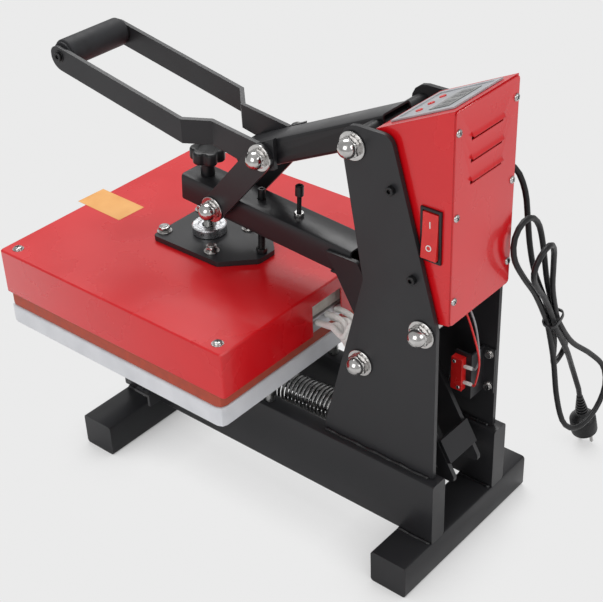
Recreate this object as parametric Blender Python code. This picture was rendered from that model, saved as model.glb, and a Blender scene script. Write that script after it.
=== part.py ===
"""Flat clamshell heat press: welded base, toggle linkage, heated head, control box and mains lead.

Metres, +Z up. The machine stands on z = 0, the operator stands at -Y, and X = 0 is its symmetry plane.
"""

import math

import bmesh
import bpy
from mathutils import Matrix, Vector

for item in list(bpy.data.objects):
    bpy.data.objects.remove(item, do_unlink=True)

# Clearances and cuts
gap = 0.0003
button_seat, button_travel = 0.005, 0.0008
overrun = 0.004
right, left = 1, -1
half_turn = math.pi
full_turn = 2 * math.pi
flat_share = math.cos(half_turn / 6)

# Base tubes
foot_width = 0.0535
foot_height = 0.0485
foot_wall = 0.003
tube_corner = 0.004
front_foot_length = 0.334
rear_foot_length = 0.2704
front_foot_y = -0.2008
rear_foot_y = 0.2906
rail_inside = 0.0542
rail_width = 0.0262
rail_height = 0.0923
rail_wall = 0.003
rail_front_y = -0.232
end_plate = 0.003
vent_radius = 0.002

# Pivots, as heights and distances back from the middle of the machine
lever_pivot_y, lever_pivot_z = 0.1932, 0.5587
arm_pivot_y, arm_pivot_z = 0.1999, 0.2706
tie_bolt_y, tie_bolt_z = 0.2891, 0.3488
link_top_y, link_top_z = 0.0243, 0.4803
arm_link_y = -0.0643
pivot_radius = 0.008
sleeve_radius = 0.0138
washer_radius = 0.0175
washer_thickness = 0.0025
nut_radius = 0.0138
nut_height = 0.007
dome_radius = 0.0115
dome_height = 0.0115
dome_shares = ((1, 0), (0.92, 0.36), (0.7, 0.72), (0.36, 0.94))

# Side plates
plate_inside = 0.0625
plate_thickness = 0.006
plate_front_y, plate_back_y = 0.1384, 0.3087
plate_waist_y, plate_waist_z = 0.2046, 0.390
plate_knee_z = 0.360
plate_top_front_y, plate_top_back_y = 0.1725, 0.2445
plate_top_z = 0.5836
plate_top_front_round = 0.022
plate_top_back_round = 0.015
plate_knee_round = 0.030
plate_waist_round = 0.012
plate_foot_round = 0.003

# Lower platen and what carries it
platen_half = 0.192
platen_front_y, platen_back_y = -0.3215, 0.080
platen_bottom_z = 0.187
platen_thickness = 0.028
platen_round = 0.010
platen_chamfer = 0.0015
pad_inset = 0.0015
pad_thickness = 0.0225
bracket_reach = 0.160
bracket_front_y = -0.117
bracket_width = 0.028
bracket_drop = 0.018
bracket_thickness = 0.004
standoff_radius = 0.0065
standoff_front_x = 0.148
standoff_back_y = 0.045

# Main arm and its yoke
arm_half = 0.023
arm_height = 0.039
arm_wall = 0.003
arm_front_y, arm_back_y = -0.133, 0.149
arm_middle_z = 0.3755
arm_tilt = 0.069
yoke_thickness = 0.006
yoke_slope = 1.7391
yoke_front_at_pivot = 0.0185
yoke_width = 0.042
yoke_top_z = 0.3783
yoke_lower_z = 0.112
yoke_round = 0.006
cross_thickness = 0.005
cross_half = 0.0285
cross_top_z, cross_bottom_z = 0.166, 0.138

# Lever: the upper tube and the two handle bars
lever_half = 0.0255
lever_height = 0.0334
lever_wall = 0.0025
lever_nose = 0.2409
lever_tail = 0.015
bar_thickness = 0.006
bar_height = 0.0325
bar_wide_half = 0.0585
bar_jog_front_y, bar_jog_back_y = -0.086, -0.0595
bar_slope = 0.195
bar_middle_z = 0.4707
bar_heel_y = 0.0155
bar_heel_rise_z, bar_heel_top_z, bar_heel_bottom_z = 0.4945, 0.5075, 0.466
bar_tail_y = 0.042
grip_y, grip_z = -0.3050, 0.5385
grip_radius = 0.0193
grip_step_share = 0.93
grip_step = 0.004
link_thickness = 0.005
link_half_width = 0.0172

# Pressure screw, head plate and the fasteners on the arm
screw_y = -0.1065
screw_radius = 0.008
knob_radius = 0.0235
knob_lobes = 6
knob_lobe_share = 0.2
knob_top = 0.0395
knob_height = 0.017
knob_neck_radius = 0.0095
knob_hub_radius = 0.0125
knob_hub_height = 0.011
collar_radius = 0.0235
collar_height = 0.012
mount_half = 0.054
mount_front_y, mount_square_y, mount_tip_y = -0.166, -0.048, -0.008
mount_tip_half = 0.015
mount_thickness = 0.0075
mount_round = 0.006
guide_y = -0.0130
guide_radius = 0.005
guide_proud = 0.015
stop_y = 0.0492
stop_radius = 0.003
stop_head_radius = 0.0055
stop_head = 0.014
stop_proud = 0.044
stop_nut_radius = 0.0066
stop_nut_height = 0.005

# Heated head
cover_half = 0.1971
cover_front_y, cover_back_y = -0.3158, 0.0918
cover_bottom_z = 0.2414
cover_height = 0.0648
cover_sheet = 0.0015
cover_round = 0.004
cover_chamfer = 0.0018
notch_half = 0.029
notch_height = 0.045
heater_inset = 0.007
heater_thickness = 0.020
insulation_inset = 0.004

# Spring and what holds its ends
spring_wire = 0.0021
spring_mean_radius = 0.0222
spring_pitch = 0.0066
spring_coils = 37
spring_pin_radius = 0.005
spring_pin_y, spring_pin_z = 0.283, 0.124
anchor_radius = 0.006
anchor_y, anchor_z = -0.030, 0.106

# Control box
box_half = 0.0597
box_sheet = 0.0015
box_front_y, box_front_z = 0.2183, 0.5826
box_back_y, box_back_z = 0.3192, 0.6298
box_bottom_front_y, box_bottom_front_z = 0.2826, 0.3595
box_bottom_back_z = 0.3665
panel_sheet = 0.0015
louvre_half = 0.030
louvre_heights = (0.586, 0.560, 0.534)
louvre_height = 0.012
louvre_slot_share = 0.35
louvre_depth = 0.0033
display_half = 0.046
display_margin = 0.011
display_lip = 0.0022
display_body = 0.008
display_frame = 0.006
display_glass = 0.0012
button_radius = 0.0042
button_proud = 0.0012
button_spacing = 0.022
button_row_share = 0.2
board_thickness = 0.0016
relay_size = 0.030
relay_height = 0.014
terminal_width = 0.012
switch_y, switch_z = 0.2938, 0.4765
switch_width, switch_height = 0.0276, 0.066
switch_lip = 0.0028
switch_frame = 0.003
switch_depth = 0.022
rocker_proud = 0.0045
rocker_valley_share = 0.35
rocker_gap = 0.0006

# Limit switch behind the yoke
limit_x = -0.028
limit_thickness = 0.0095
limit_front_y, limit_back_y = 0.269, 0.2845
limit_bottom_z, limit_top_z = 0.210, 0.257
limit_lever_thickness = 0.0008
limit_lever_width = 0.0045
limit_lever_length = 0.036
limit_lever_lean = 0.0036
limit_screw_inset = 0.005
bend_thickness = 0.0025
bend_reach = 0.016
bend_bottom_z, bend_top_z = 0.196, 0.262

# Mains lead
cord_radius = 0.0037
gland_y, gland_z = 0.282, 0.500
gland_flange_radius = 0.010
gland_flange = 0.004
boot_length = 0.026
boot_radius = 0.0068
tie_width = 0.006
tie_thickness = 0.0016
tie_x, tie_y, tie_z = -0.150, 0.3305, 0.272
plug_top = Vector((-0.2460, 0.3330, 0.0910))
plug_toe = Vector((-0.2700, 0.3370, 0.0012))
plug_relief = 0.036
plug_body = 0.036
plug_radius = 0.0185
plug_neck_radius = 0.0095
pin_radius = 0.0024
pin_spacing = 0.0190

# What follows from the sizes above
rail_bottom = foot_height + gap
rail_top = rail_bottom + rail_height
rail_outside = rail_inside + rail_width
rail_back_y = rear_foot_y + foot_width / 2
plate_bottom = rail_top + gap
plate_outside = plate_inside + plate_thickness
platen_top = platen_bottom_z + platen_thickness
pad_bottom = platen_top + gap
pad_top = pad_bottom + pad_thickness
heater_bottom = pad_top + gap
heater_top = heater_bottom + heater_thickness
cover_top = cover_bottom_z + cover_height
mount_bottom = cover_top + gap
mount_top = mount_bottom + mount_thickness
yoke_inside = arm_half + gap
yoke_outside = yoke_inside + yoke_thickness
bar_inside = lever_half + gap
bar_outside = bar_inside + bar_thickness
link_inside = bar_outside + gap
link_outside = link_inside + link_thickness
panel_front_y = box_back_y + gap
panel_back_y = panel_front_y + panel_sheet
bore = pivot_radius + gap
up = Vector((0, 0, 1))


def axis_frame(origin, direction, hint=Vector((1, 0, 0))):
    """A matrix whose Z runs along the direction from the origin, with X as near the hint as it can."""
    z = Vector(direction).normalized()
    x = (hint - hint.dot(z) * z).normalized()
    y = z.cross(x)
    turn = Matrix((x, y, z)).transposed().to_4x4()
    return Matrix.Translation(origin) @ turn


materials = {}


def material(name, colour, roughness, metallic=0.0):
    """One Principled material per finish."""
    if name not in materials:
        made = bpy.data.materials.new(name)
        made.use_nodes = True
        shader = made.node_tree.nodes["Principled BSDF"]
        shader.inputs["Base Color"].default_value = (*colour, 1.0)
        shader.inputs["Roughness"].default_value = roughness
        shader.inputs["Metallic"].default_value = metallic
        made.diffuse_color = (*colour, 1.0)
        materials[name] = made
    return materials[name]


def black_paint():
    return material("black_paint", (0.02, 0.02, 0.022), 0.45)


def red_paint():
    return material("red_paint", (0.62, 0.03, 0.03), 0.25)


def silver_paint():
    return material("silver_paint", (0.72, 0.73, 0.75), 0.4)


def bright_steel():
    return material("bright_steel", (0.78, 0.78, 0.78), 0.18, 1.0)


def black_plastic():
    return material("black_plastic", (0.025, 0.025, 0.028), 0.5)


def red_plastic():
    return material("red_plastic", (0.7, 0.02, 0.02), 0.3)


def orange_rubber():
    return material("orange_rubber", (0.55, 0.16, 0.07), 0.6)


def aluminium():
    return material("aluminium", (0.65, 0.66, 0.68), 0.35, 1.0)


def insulation():
    return material("insulation", (0.8, 0.78, 0.72), 0.9)


def cord_rubber():
    return material("cord_rubber", (0.018, 0.018, 0.018), 0.5)


def board_green():
    return material("board_green", (0.03, 0.25, 0.09), 0.5)


def display_grey():
    return material("display_grey", (0.55, 0.58, 0.6), 0.2)


def make_axis(name, place):
    """An empty on a joint's axis, which the pieces of that body hang from."""
    empty = bpy.data.objects.new(name, None)
    empty.location = place
    empty.empty_display_size = pivot_radius
    bpy.context.scene.collection.objects.link(empty)
    return empty


def keep_object(name, mesh, finish, parent=None):
    """Link a mesh as a named object, on its body's empty if it moves."""
    mesh.materials.append(finish)
    piece = bpy.data.objects.new(name, mesh)
    bpy.context.scene.collection.objects.link(piece)
    if parent is not None:
        piece.parent = parent
        piece.matrix_parent_inverse = Matrix.Translation(-parent.location)
    return piece


def keep_mesh(name, bm, finish, parent=None, smooth=math.radians(40)):
    """Turn a bmesh into a named object with its faces out."""
    bmesh.ops.recalc_face_normals(bm, faces=bm.faces)
    mesh = bpy.data.meshes.new(name)
    bm.to_mesh(mesh)
    bm.free()
    mesh.shade_smooth()
    mesh.set_sharp_from_angle(angle=smooth)
    return keep_object(name, mesh, finish, parent)


def join_rings(bm, lower, upper):
    """Faces between two rings, either of which may be a single point."""
    count = max(len(lower), len(upper))
    for k in range(count):
        following = (k + 1) % count
        if len(lower) == 1:
            bm.faces.new((lower[0], upper[following], upper[k]))
        elif len(upper) == 1:
            bm.faces.new((lower[k], lower[following], upper[0]))
        else:
            bm.faces.new((lower[k], lower[following], upper[following], upper[k]))


def add_loft(bm, rings, closed=False):
    """Rings of points joined in order, and capped unless the last meets the first."""
    made = [[bm.verts.new(point) for point in ring] for ring in rings]
    for lower, upper in zip(made, made[1:]):
        join_rings(bm, lower, upper)
    if closed:
        join_rings(bm, made[-1], made[0])
        return
    if len(made[0]) > 2:
        bm.faces.new(reversed(made[0]))
    if len(made[-1]) > 2:
        bm.faces.new(made[-1])


def add_turned(bm, profile, sides, frame, closed=False, hexagon=()):
    """A revolved profile of (radius, height); rings numbered in hexagon get six flats."""
    rings = []
    for number, (radius, height) in enumerate(profile):
        if radius == 0:
            rings.append([frame @ Vector((0, 0, height))])
            continue
        ring = []
        for k in range(sides):
            turn = full_turn * k / sides
            reach = radius
            if number in hexagon:
                reach = radius * flat_share / math.cos(turn % (half_turn / 3) - half_turn / 6)
            ring.append(frame @ Vector((reach * math.cos(turn), reach * math.sin(turn), height)))
        rings.append(ring)
    add_loft(bm, rings, closed)


def add_box(bm, low, high, frame=Matrix()):
    """A box between two corners."""
    rings = []
    for z in (low[2], high[2]):
        corners = ((low[0], low[1]), (high[0], low[1]), (high[0], high[1]), (low[0], high[1]))
        rings.append([frame @ Vector((x, y, z)) for x, y in corners])
    add_loft(bm, rings)


def circle(y, z, radius, sides=16):
    """Points of a round hole in an outline."""
    return [(y + radius * math.cos(full_turn * k / sides), z + radius * math.sin(full_turn * k / sides))
            for k in range(sides)]


def rounded(corners, steps=4):
    """An outline whose corners, given as (a, b, radius), are rounded by arcs."""
    points = []
    for number, (a, b, radius) in enumerate(corners):
        here = Vector((a, b))
        before = (Vector(corners[number - 1][:2]) - here).normalized()
        after = (Vector(corners[(number + 1) % len(corners)][:2]) - here).normalized()
        if radius == 0:
            points.append((a, b))
            continue
        half_angle = before.angle(after) / 2
        middle = here + (before + after).normalized() * radius / math.sin(half_angle)
        start = here + before * radius / math.tan(half_angle) - middle
        end = here + after * radius / math.tan(half_angle) - middle
        swing = start.angle_signed(end)
        for k in range(steps + 1):
            turned = Matrix.Rotation(-swing * k / steps, 2) @ start
            points.append((middle.x + turned.x, middle.y + turned.y))
    return points


def rectangle(low_a, low_b, high_a, high_b, radius, steps=2):
    """A rounded rectangle outline."""
    corners = ((low_a, low_b, radius), (high_a, low_b, radius),
               (high_a, high_b, radius), (low_a, high_b, radius))
    return rounded(corners, steps)


def add_plate(bm, loops, near, far, frame=Matrix()):
    """An outline with holes in the frame's YZ plane, extruded along its X from near to far."""
    edges = []
    for loop in loops:
        verts = [bm.verts.new(frame @ Vector((near, a, b))) for a, b in loop]
        for number, vert in enumerate(verts):
            edges.append(bm.edges.new((vert, verts[(number + 1) % len(verts)])))
    along = (frame.to_3x3() @ Vector((1, 0, 0))).normalized()
    filled = bmesh.ops.triangle_fill(bm, use_beauty=True, use_dissolve=False, edges=edges, normal=along)
    faces = [part for part in filled["geom"] if isinstance(part, bmesh.types.BMFace)]
    grown = bmesh.ops.extrude_face_region(bm, geom=faces, use_keep_orig=True)
    moved = [part for part in grown["geom"] if isinstance(part, bmesh.types.BMVert)]
    bmesh.ops.translate(bm, verts=moved, vec=along * (far - near))


def make_plate(name, loops, near, far, finish, parent=None, frame=Matrix()):
    """A plate as an object of its own."""
    bm = bmesh.new()
    add_plate(bm, loops, near, far, frame)
    return keep_mesh(name, bm, finish, parent)


def cut(piece, cutter):
    """Take the cutter's shape out of a piece."""
    cutter.hide_render = True
    cutter.display_type = "WIRE"
    modifier = piece.modifiers.new("cut_" + cutter.name, "BOOLEAN")
    modifier.operation = "DIFFERENCE"
    modifier.solver = "EXACT"
    modifier.object = cutter


def weld(piece, other):
    """Join another body's shape to a piece."""
    other.hide_render = True
    other.display_type = "WIRE"
    modifier = piece.modifiers.new("weld_" + other.name, "BOOLEAN")
    modifier.operation = "UNION"
    modifier.solver = "EXACT"
    modifier.object = other


def drill(piece, name, frame, radius, start, end, sides=16):
    """A round hole along the frame's Z."""
    bm = bmesh.new()
    add_turned(bm, ((radius, start), (radius, end)), sides, frame)
    cut(piece, keep_mesh("cutter_" + name, bm, black_paint()))


def block_rings(half_x, front_y, back_y, levels, corner, steps=2):
    """Rounded rectangles, one for each (height, inset) level."""
    rings = []
    for height, inset in levels:
        outline = rectangle(-half_x + inset, front_y + inset, half_x - inset, back_y - inset,
                            corner - inset, steps)
        rings.append([Vector((x, y, height)) for x, y in outline])
    return rings


def make_block(name, half_x, front_y, back_y, bottom, top, corner, chamfer, finish, parent=None):
    """A rounded slab with softened edges."""
    levels = ((bottom, chamfer), (bottom + chamfer, 0), (top - chamfer, 0), (top, chamfer))
    bm = bmesh.new()
    add_loft(bm, block_rings(half_x, front_y, back_y, levels, corner))
    return keep_mesh(name, bm, finish, parent)


def nut_profile(start):
    """A washer, a hexagon and a dome, as rings outwards from a face, and which of them are hexagonal."""
    face = start + washer_thickness
    top = face + nut_height
    rings = [(washer_radius, start), (washer_radius, face), (nut_radius, face), (nut_radius, top)]
    for reach_share, rise_share in dome_shares:
        rings.append((dome_radius * reach_share, top + dome_height * rise_share))
    rings.append((0, top + dome_height))
    return rings


def add_shaft(bm, radius, low_x, high_x, y, z, sides=16):
    """A round bar across the machine."""
    frame = axis_frame(Vector((low_x, y, z)), Vector((1, 0, 0)), up)
    add_turned(bm, ((radius, 0), (radius, high_x - low_x)), sides, frame)


def make_pivot_bolt(name, face, y, z, parent=None):
    """A through bolt with a washer and a domed nut at both ends, as one turned piece."""
    end = nut_profile(face + gap)
    profile = [(radius, -x) for radius, x in reversed(end)]
    flats = (len(profile) - 3, len(profile) - 4)
    profile += [(pivot_radius, -face - gap), (pivot_radius, face + gap)]
    flats += (len(profile) + 2, len(profile) + 3)
    profile += end
    frame = axis_frame(Vector((0, y, z)), Vector((1, 0, 0)), up)
    bm = bmesh.new()
    add_turned(bm, profile, 24, frame, hexagon=flats)
    keep_mesh(name, bm, bright_steel(), parent)


# Base frame


def make_closed_tube(name, outline, inner, near, far, vent, frame):
    """A box tube with its ends welded shut and a vent hole in its underside."""
    piece = make_plate(name, (outline,), near, far, black_paint(), None, frame)
    bm = bmesh.new()
    add_plate(bm, (inner,), near + end_plate, far - end_plate, frame)
    cut(piece, keep_mesh("cutter_" + name, bm, black_paint()))
    drill(piece, name + "_vent", Matrix.Translation(vent), vent_radius, -overrun, overrun, 8)


def make_feet():
    """Two box tubes across the machine."""
    for name, length, y in (("front_foot", front_foot_length, front_foot_y),
                            ("rear_foot", rear_foot_length, rear_foot_y)):
        low_y, high_y = y - foot_width / 2, y + foot_width / 2
        outer = rectangle(low_y, 0, high_y, foot_height, tube_corner)
        inner = rectangle(low_y + foot_wall, foot_wall, high_y - foot_wall, foot_height - foot_wall,
                          tube_corner - foot_wall, 1)
        make_closed_tube(name, outer, inner, -length / 2, length / 2, Vector((0, y, foot_wall / 2)), Matrix())


def make_rails():
    """Two tall tubes that run from foot to foot."""
    turned = Matrix.Rotation(half_turn / 2, 4, "Z")
    for name, side in (("rail_right", right), ("rail_left", left)):
        low_x, high_x = sorted((-side * rail_inside, -side * rail_outside))
        outer = rectangle(low_x, rail_bottom, high_x, rail_top, tube_corner)
        inner = rectangle(low_x + rail_wall, rail_bottom + rail_wall, high_x - rail_wall, rail_top - rail_wall,
                          tube_corner - rail_wall, 1)
        vent = Vector((side * (rail_inside + rail_width / 2), 0, rail_bottom + rail_wall / 2))
        make_closed_tube(name, outer, inner, rail_front_y, rail_back_y, vent, turned)


def make_side_plates():
    """The two upright plates that carry every pivot."""
    corners = ((plate_front_y, plate_bottom, plate_foot_round), (plate_back_y, plate_bottom, plate_foot_round),
               (plate_back_y, plate_knee_z, plate_knee_round),
               (plate_top_back_y, plate_top_z, plate_top_back_round),
               (plate_top_front_y, plate_top_z, plate_top_front_round),
               (plate_waist_y, plate_waist_z, plate_waist_round))
    outline = rounded(corners)
    holes = [circle(y, z, bore) for y, z in ((lever_pivot_y, lever_pivot_z), (arm_pivot_y, arm_pivot_z),
                                             (tie_bolt_y, tie_bolt_z))]
    for name, side in (("side_plate_right", right), ("side_plate_left", left)):
        make_plate(name, [outline] + holes, side * plate_inside, side * plate_outside, black_paint())


def make_plate_bolts():
    """Lever pivot, arm pivot and tie bolt, all alike."""
    for name, y, z in (("lever_pivot_bolt", lever_pivot_y, lever_pivot_z),
                       ("arm_pivot_bolt", arm_pivot_y, arm_pivot_z), ("tie_bolt", tie_bolt_y, tie_bolt_z)):
        make_pivot_bolt(name, plate_outside, y, z)


# Lower platen


def make_platen_brackets():
    """Angle-iron outriggers on the rails, under the front of the platen."""
    top = rail_top
    back = bracket_front_y + bracket_width
    outline = ((bracket_front_y, top), (bracket_front_y, top - bracket_thickness),
               (back - bracket_thickness, top - bracket_thickness), (back - bracket_thickness, top - bracket_drop),
               (back, top - bracket_drop), (back, top))
    for name, side in (("platen_bracket_right", right), ("platen_bracket_left", left)):
        make_plate(name, (outline,), side * (rail_outside + gap), side * bracket_reach, black_paint())


def make_standoffs():
    """Turned posts between the base and the platen."""
    low = rail_top + gap
    high = platen_bottom_z - gap
    rail_x = rail_inside + rail_width / 2
    front_y = bracket_front_y + (bracket_width - bracket_thickness) / 2
    for end, x, y in (("front", standoff_front_x, front_y), ("rear", rail_x, standoff_back_y)):
        for hand, side in (("right", right), ("left", left)):
            bm = bmesh.new()
            frame = Matrix.Translation((side * x, y, 0))
            add_turned(bm, ((standoff_radius, low), (standoff_radius, high)), 16, frame)
            keep_mesh("standoff_" + end + "_" + hand, bm, aluminium())


def make_lower_platen():
    """The pale slab and the silicone pad on it."""
    make_block("lower_platen", platen_half, platen_front_y, platen_back_y, platen_bottom_z, platen_top,
               platen_round, platen_chamfer, silver_paint())
    make_block("silicone_pad", platen_half - pad_inset, platen_front_y + pad_inset, platen_back_y - pad_inset,
               pad_bottom, pad_top, platen_round, platen_chamfer, orange_rubber())


# Arm body


def arm_point(y):
    """The arm's middle line above y."""
    return Vector((0, y, arm_middle_z + arm_tilt * (-y)))


def arm_place(y):
    """A frame on the arm's middle line: X across, Y back along the arm, Z square out of its top."""
    back = Vector((0, 1, -arm_tilt)).normalized()
    lift = Vector((1, 0, 0)).cross(back)
    turn = Matrix((Vector((1, 0, 0)), back, lift)).transposed().to_4x4()
    return Matrix.Translation(arm_point(y)) @ turn


def make_main_arm(body):
    """The box-section arm, closed at its nose, with its bores."""
    frame = arm_place(0) @ Matrix.Rotation(half_turn / 2, 4, "Z")
    half = arm_height / 2
    outer = rectangle(-arm_half, -half, arm_half, half, tube_corner)
    inner = rectangle(-arm_half + arm_wall, -half + arm_wall, arm_half - arm_wall, half - arm_wall,
                      tube_corner - arm_wall, 1)
    piece = make_plate("main_arm", (outer, inner), arm_front_y, arm_back_y, black_paint(), body, frame)
    for name, y, radius in (("screw", screw_y, screw_radius), ("guide", guide_y, guide_radius),
                            ("stop", stop_y, stop_radius)):
        drill(piece, name, arm_place(y), radius + 2 * gap, -arm_height, arm_height)
    across = axis_frame(arm_point(arm_link_y) - Vector((arm_half + overrun, 0, 0)), Vector((1, 0, 0)), up)
    drill(piece, "arm_link", across, bore, 0, 2 * (arm_half + overrun))


def yoke_edge(z, offset):
    """Where the yoke's slanting band lies at height z, offset square to it from its front edge."""
    run = 1 / yoke_slope
    square = math.hypot(1, run)
    front = arm_pivot_y - yoke_front_at_pivot * square
    return front + (arm_pivot_z - z) * run + offset * square


def make_yoke(body):
    """Two slanting plates welded to the arm's sides, hung on the arm pivot."""
    corners = ((yoke_edge(yoke_lower_z, 0), yoke_lower_z, yoke_round),
               (yoke_edge(yoke_lower_z, yoke_width), yoke_lower_z, yoke_round),
               (yoke_edge(yoke_top_z, yoke_width), yoke_top_z, yoke_round),
               (yoke_edge(yoke_top_z, 0), yoke_top_z, 0))
    outline = rounded(corners, 2)
    holes = (circle(arm_pivot_y, arm_pivot_z, sleeve_radius + gap, 20),
             circle(spring_pin_y, spring_pin_z, spring_pin_radius + gap, 12))
    for name, side in (("yoke_right", right), ("yoke_left", left)):
        make_plate(name, (outline,) + holes, side * yoke_inside, side * yoke_outside, black_paint(), body)
    bottom = Vector((0, yoke_edge(cross_bottom_z, yoke_width), cross_bottom_z))
    top = Vector((0, yoke_edge(cross_top_z, yoke_width), cross_top_z))
    along = (top - bottom).normalized()
    out = Vector((1, 0, 0)).cross(along) * -1
    turn = Matrix((Vector((1, 0, 0)), out, along)).transposed().to_4x4()
    bm = bmesh.new()
    add_box(bm, (-cross_half, gap, 0), (cross_half, gap + cross_thickness, (top - bottom).length),
            Matrix.Translation(bottom) @ turn)
    keep_mesh("yoke_cross_plate", bm, black_paint(), body)


def make_arm_sleeve(body):
    """The long tube that the arm swings on."""
    bm = bmesh.new()
    reach = plate_inside - gap
    frame = axis_frame(Vector((-reach, arm_pivot_y, arm_pivot_z)), Vector((1, 0, 0)), up)
    profile = ((bore, 0), (sleeve_radius, 0), (sleeve_radius, 2 * reach), (bore, 2 * reach))
    add_turned(bm, profile, 20, frame, closed=True)
    keep_mesh("arm_pivot_sleeve", bm, black_paint(), body)


def make_spring_pin(body):
    """The pin between the yoke plates that the spring pulls on."""
    bm = bmesh.new()
    add_shaft(bm, spring_pin_radius, -yoke_outside, yoke_outside, spring_pin_y, spring_pin_z, 12)
    keep_mesh("spring_pin", bm, bright_steel(), body)


def make_stop_screw(body):
    """The long screw on the arm that the lever comes down on, with its lock nut."""
    top = arm_height / 2
    head = top + stop_proud - stop_head
    nut = top + gap + stop_nut_height
    socket = stop_head_radius / 2
    profile = ((0, 0), (stop_radius, 0), (stop_radius, top + gap), (stop_nut_radius, top + gap),
               (stop_nut_radius, nut), (stop_radius, nut), (stop_radius, head), (stop_head_radius, head),
               (stop_head_radius, top + stop_proud), (socket, top + stop_proud),
               (socket, top + stop_proud - stop_head / 2), (0, top + stop_proud - stop_head / 2))
    bm = bmesh.new()
    add_turned(bm, profile, 12, arm_place(stop_y), hexagon=(3, 4))
    keep_mesh("stop_screw", bm, black_paint(), body)


# Lever body


def lever_frame():
    """On the lever pivot: X across, Y back along the tube, Z square out of its top."""
    pivot = Vector((0, lever_pivot_y, lever_pivot_z))
    back = (pivot - Vector((0, link_top_y, link_top_z))).normalized()
    lift = Vector((1, 0, 0)).cross(back)
    turn = Matrix((Vector((1, 0, 0)), back, lift)).transposed().to_4x4()
    return Matrix.Translation(pivot) @ turn


def make_lever_tube(body):
    """The upper tube with its pivot sleeve through the back end."""
    frame = lever_frame() @ Matrix.Rotation(half_turn / 2, 4, "Z")
    half = lever_height / 2
    outer = rectangle(-lever_half, -half, lever_half, half, tube_corner)
    inner = rectangle(-lever_half + lever_wall, -half + lever_wall, lever_half - lever_wall, half - lever_wall,
                      tube_corner - lever_wall, 1)
    piece = make_plate("lever_tube", (outer, inner), -lever_nose, lever_tail, black_paint(), body, frame)
    reach = plate_inside - gap
    bm = bmesh.new()
    add_shaft(bm, sleeve_radius, -reach, reach, lever_pivot_y, lever_pivot_z, 20)
    weld(piece, keep_mesh("welded_sleeve", bm, black_paint()))
    for name, y, z in (("lever_pivot", lever_pivot_y, lever_pivot_z), ("lever_link", link_top_y, link_top_z)):
        across = axis_frame(Vector((-reach - overrun, y, z)), Vector((1, 0, 0)), up)
        drill(piece, name, across, bore, 0, 2 * (reach + overrun))


def bar_middle(y):
    """The height of the handle bar's middle line at y."""
    return bar_middle_z - bar_slope * (y - link_top_y)


def bar_section(side, y_in, y_out, x_in, x_out, top=None, bottom=None):
    """Four corners across the bar: inner bottom, outer bottom, outer top, inner top."""
    half = bar_height / 2
    corners = []
    for x, y, sign in ((x_in, y_in, -1), (x_out, y_out, -1), (x_out, y_out, 1), (x_in, y_in, 1)):
        z = bar_middle(y) + sign * half
        if sign > 0 and top is not None:
            z = top
        if sign < 0 and bottom is not None:
            z = bottom
        corners.append(Vector((side * x, y, z)))
    return corners


def make_handle_bars(body):
    """Flat bars, wide at the grip and jogged in to the lever tube, with a rounded nose."""
    lag = bar_thickness * math.tan(half_turn / 8)
    wide_in = bar_wide_half - bar_thickness
    half = bar_height / 2
    nose_steps = 6
    for name, side in (("handle_bar_right", right), ("handle_bar_left", left)):
        rings = []
        for k in range(nose_steps):
            turn = half_turn / 2 * (k + 1) / (nose_steps + 1)
            y = grip_y - half * math.cos(turn)
            rise = half * math.sin(turn)
            middle = bar_middle(y)
            rings.append(bar_section(side, y, y, wide_in, bar_wide_half, middle + rise, middle - rise))
        rings.append(bar_section(side, grip_y, grip_y, wide_in, bar_wide_half))
        rings.append(bar_section(side, bar_jog_front_y - lag, bar_jog_front_y, wide_in, bar_wide_half))
        rings.append(bar_section(side, bar_jog_back_y - lag, bar_jog_back_y, bar_inside, bar_outside))
        rings.append(bar_section(side, bar_heel_y, bar_heel_y, bar_inside, bar_outside, bar_heel_rise_z))
        rings.append(bar_section(side, bar_tail_y, bar_tail_y, bar_inside, bar_outside,
                                 bar_heel_top_z, bar_heel_bottom_z))
        bm = bmesh.new()
        add_loft(bm, rings)
        piece = keep_mesh(name, bm, black_paint(), body)
        start = Vector((side * (bar_inside - overrun), link_top_y, link_top_z))
        near = axis_frame(start, Vector((side, 0, 0)), up)
        drill(piece, name + "_link", near, bore, 0, bar_thickness + 2 * overrun)


def make_grip(body):
    """The moulded grip between the bars."""
    reach = bar_wide_half - bar_thickness - gap
    frame = axis_frame(Vector((-reach, grip_y, grip_z)), Vector((1, 0, 0)), up)
    small = grip_radius * grip_step_share
    profile = ((small, 0), (small, grip_step), (grip_radius, grip_step), (grip_radius, 2 * reach - grip_step),
               (small, 2 * reach - grip_step), (small, 2 * reach))
    bm = bmesh.new()
    add_turned(bm, profile, 24, frame)
    keep_mesh("handle_grip", bm, black_plastic(), body)


# Link body


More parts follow.
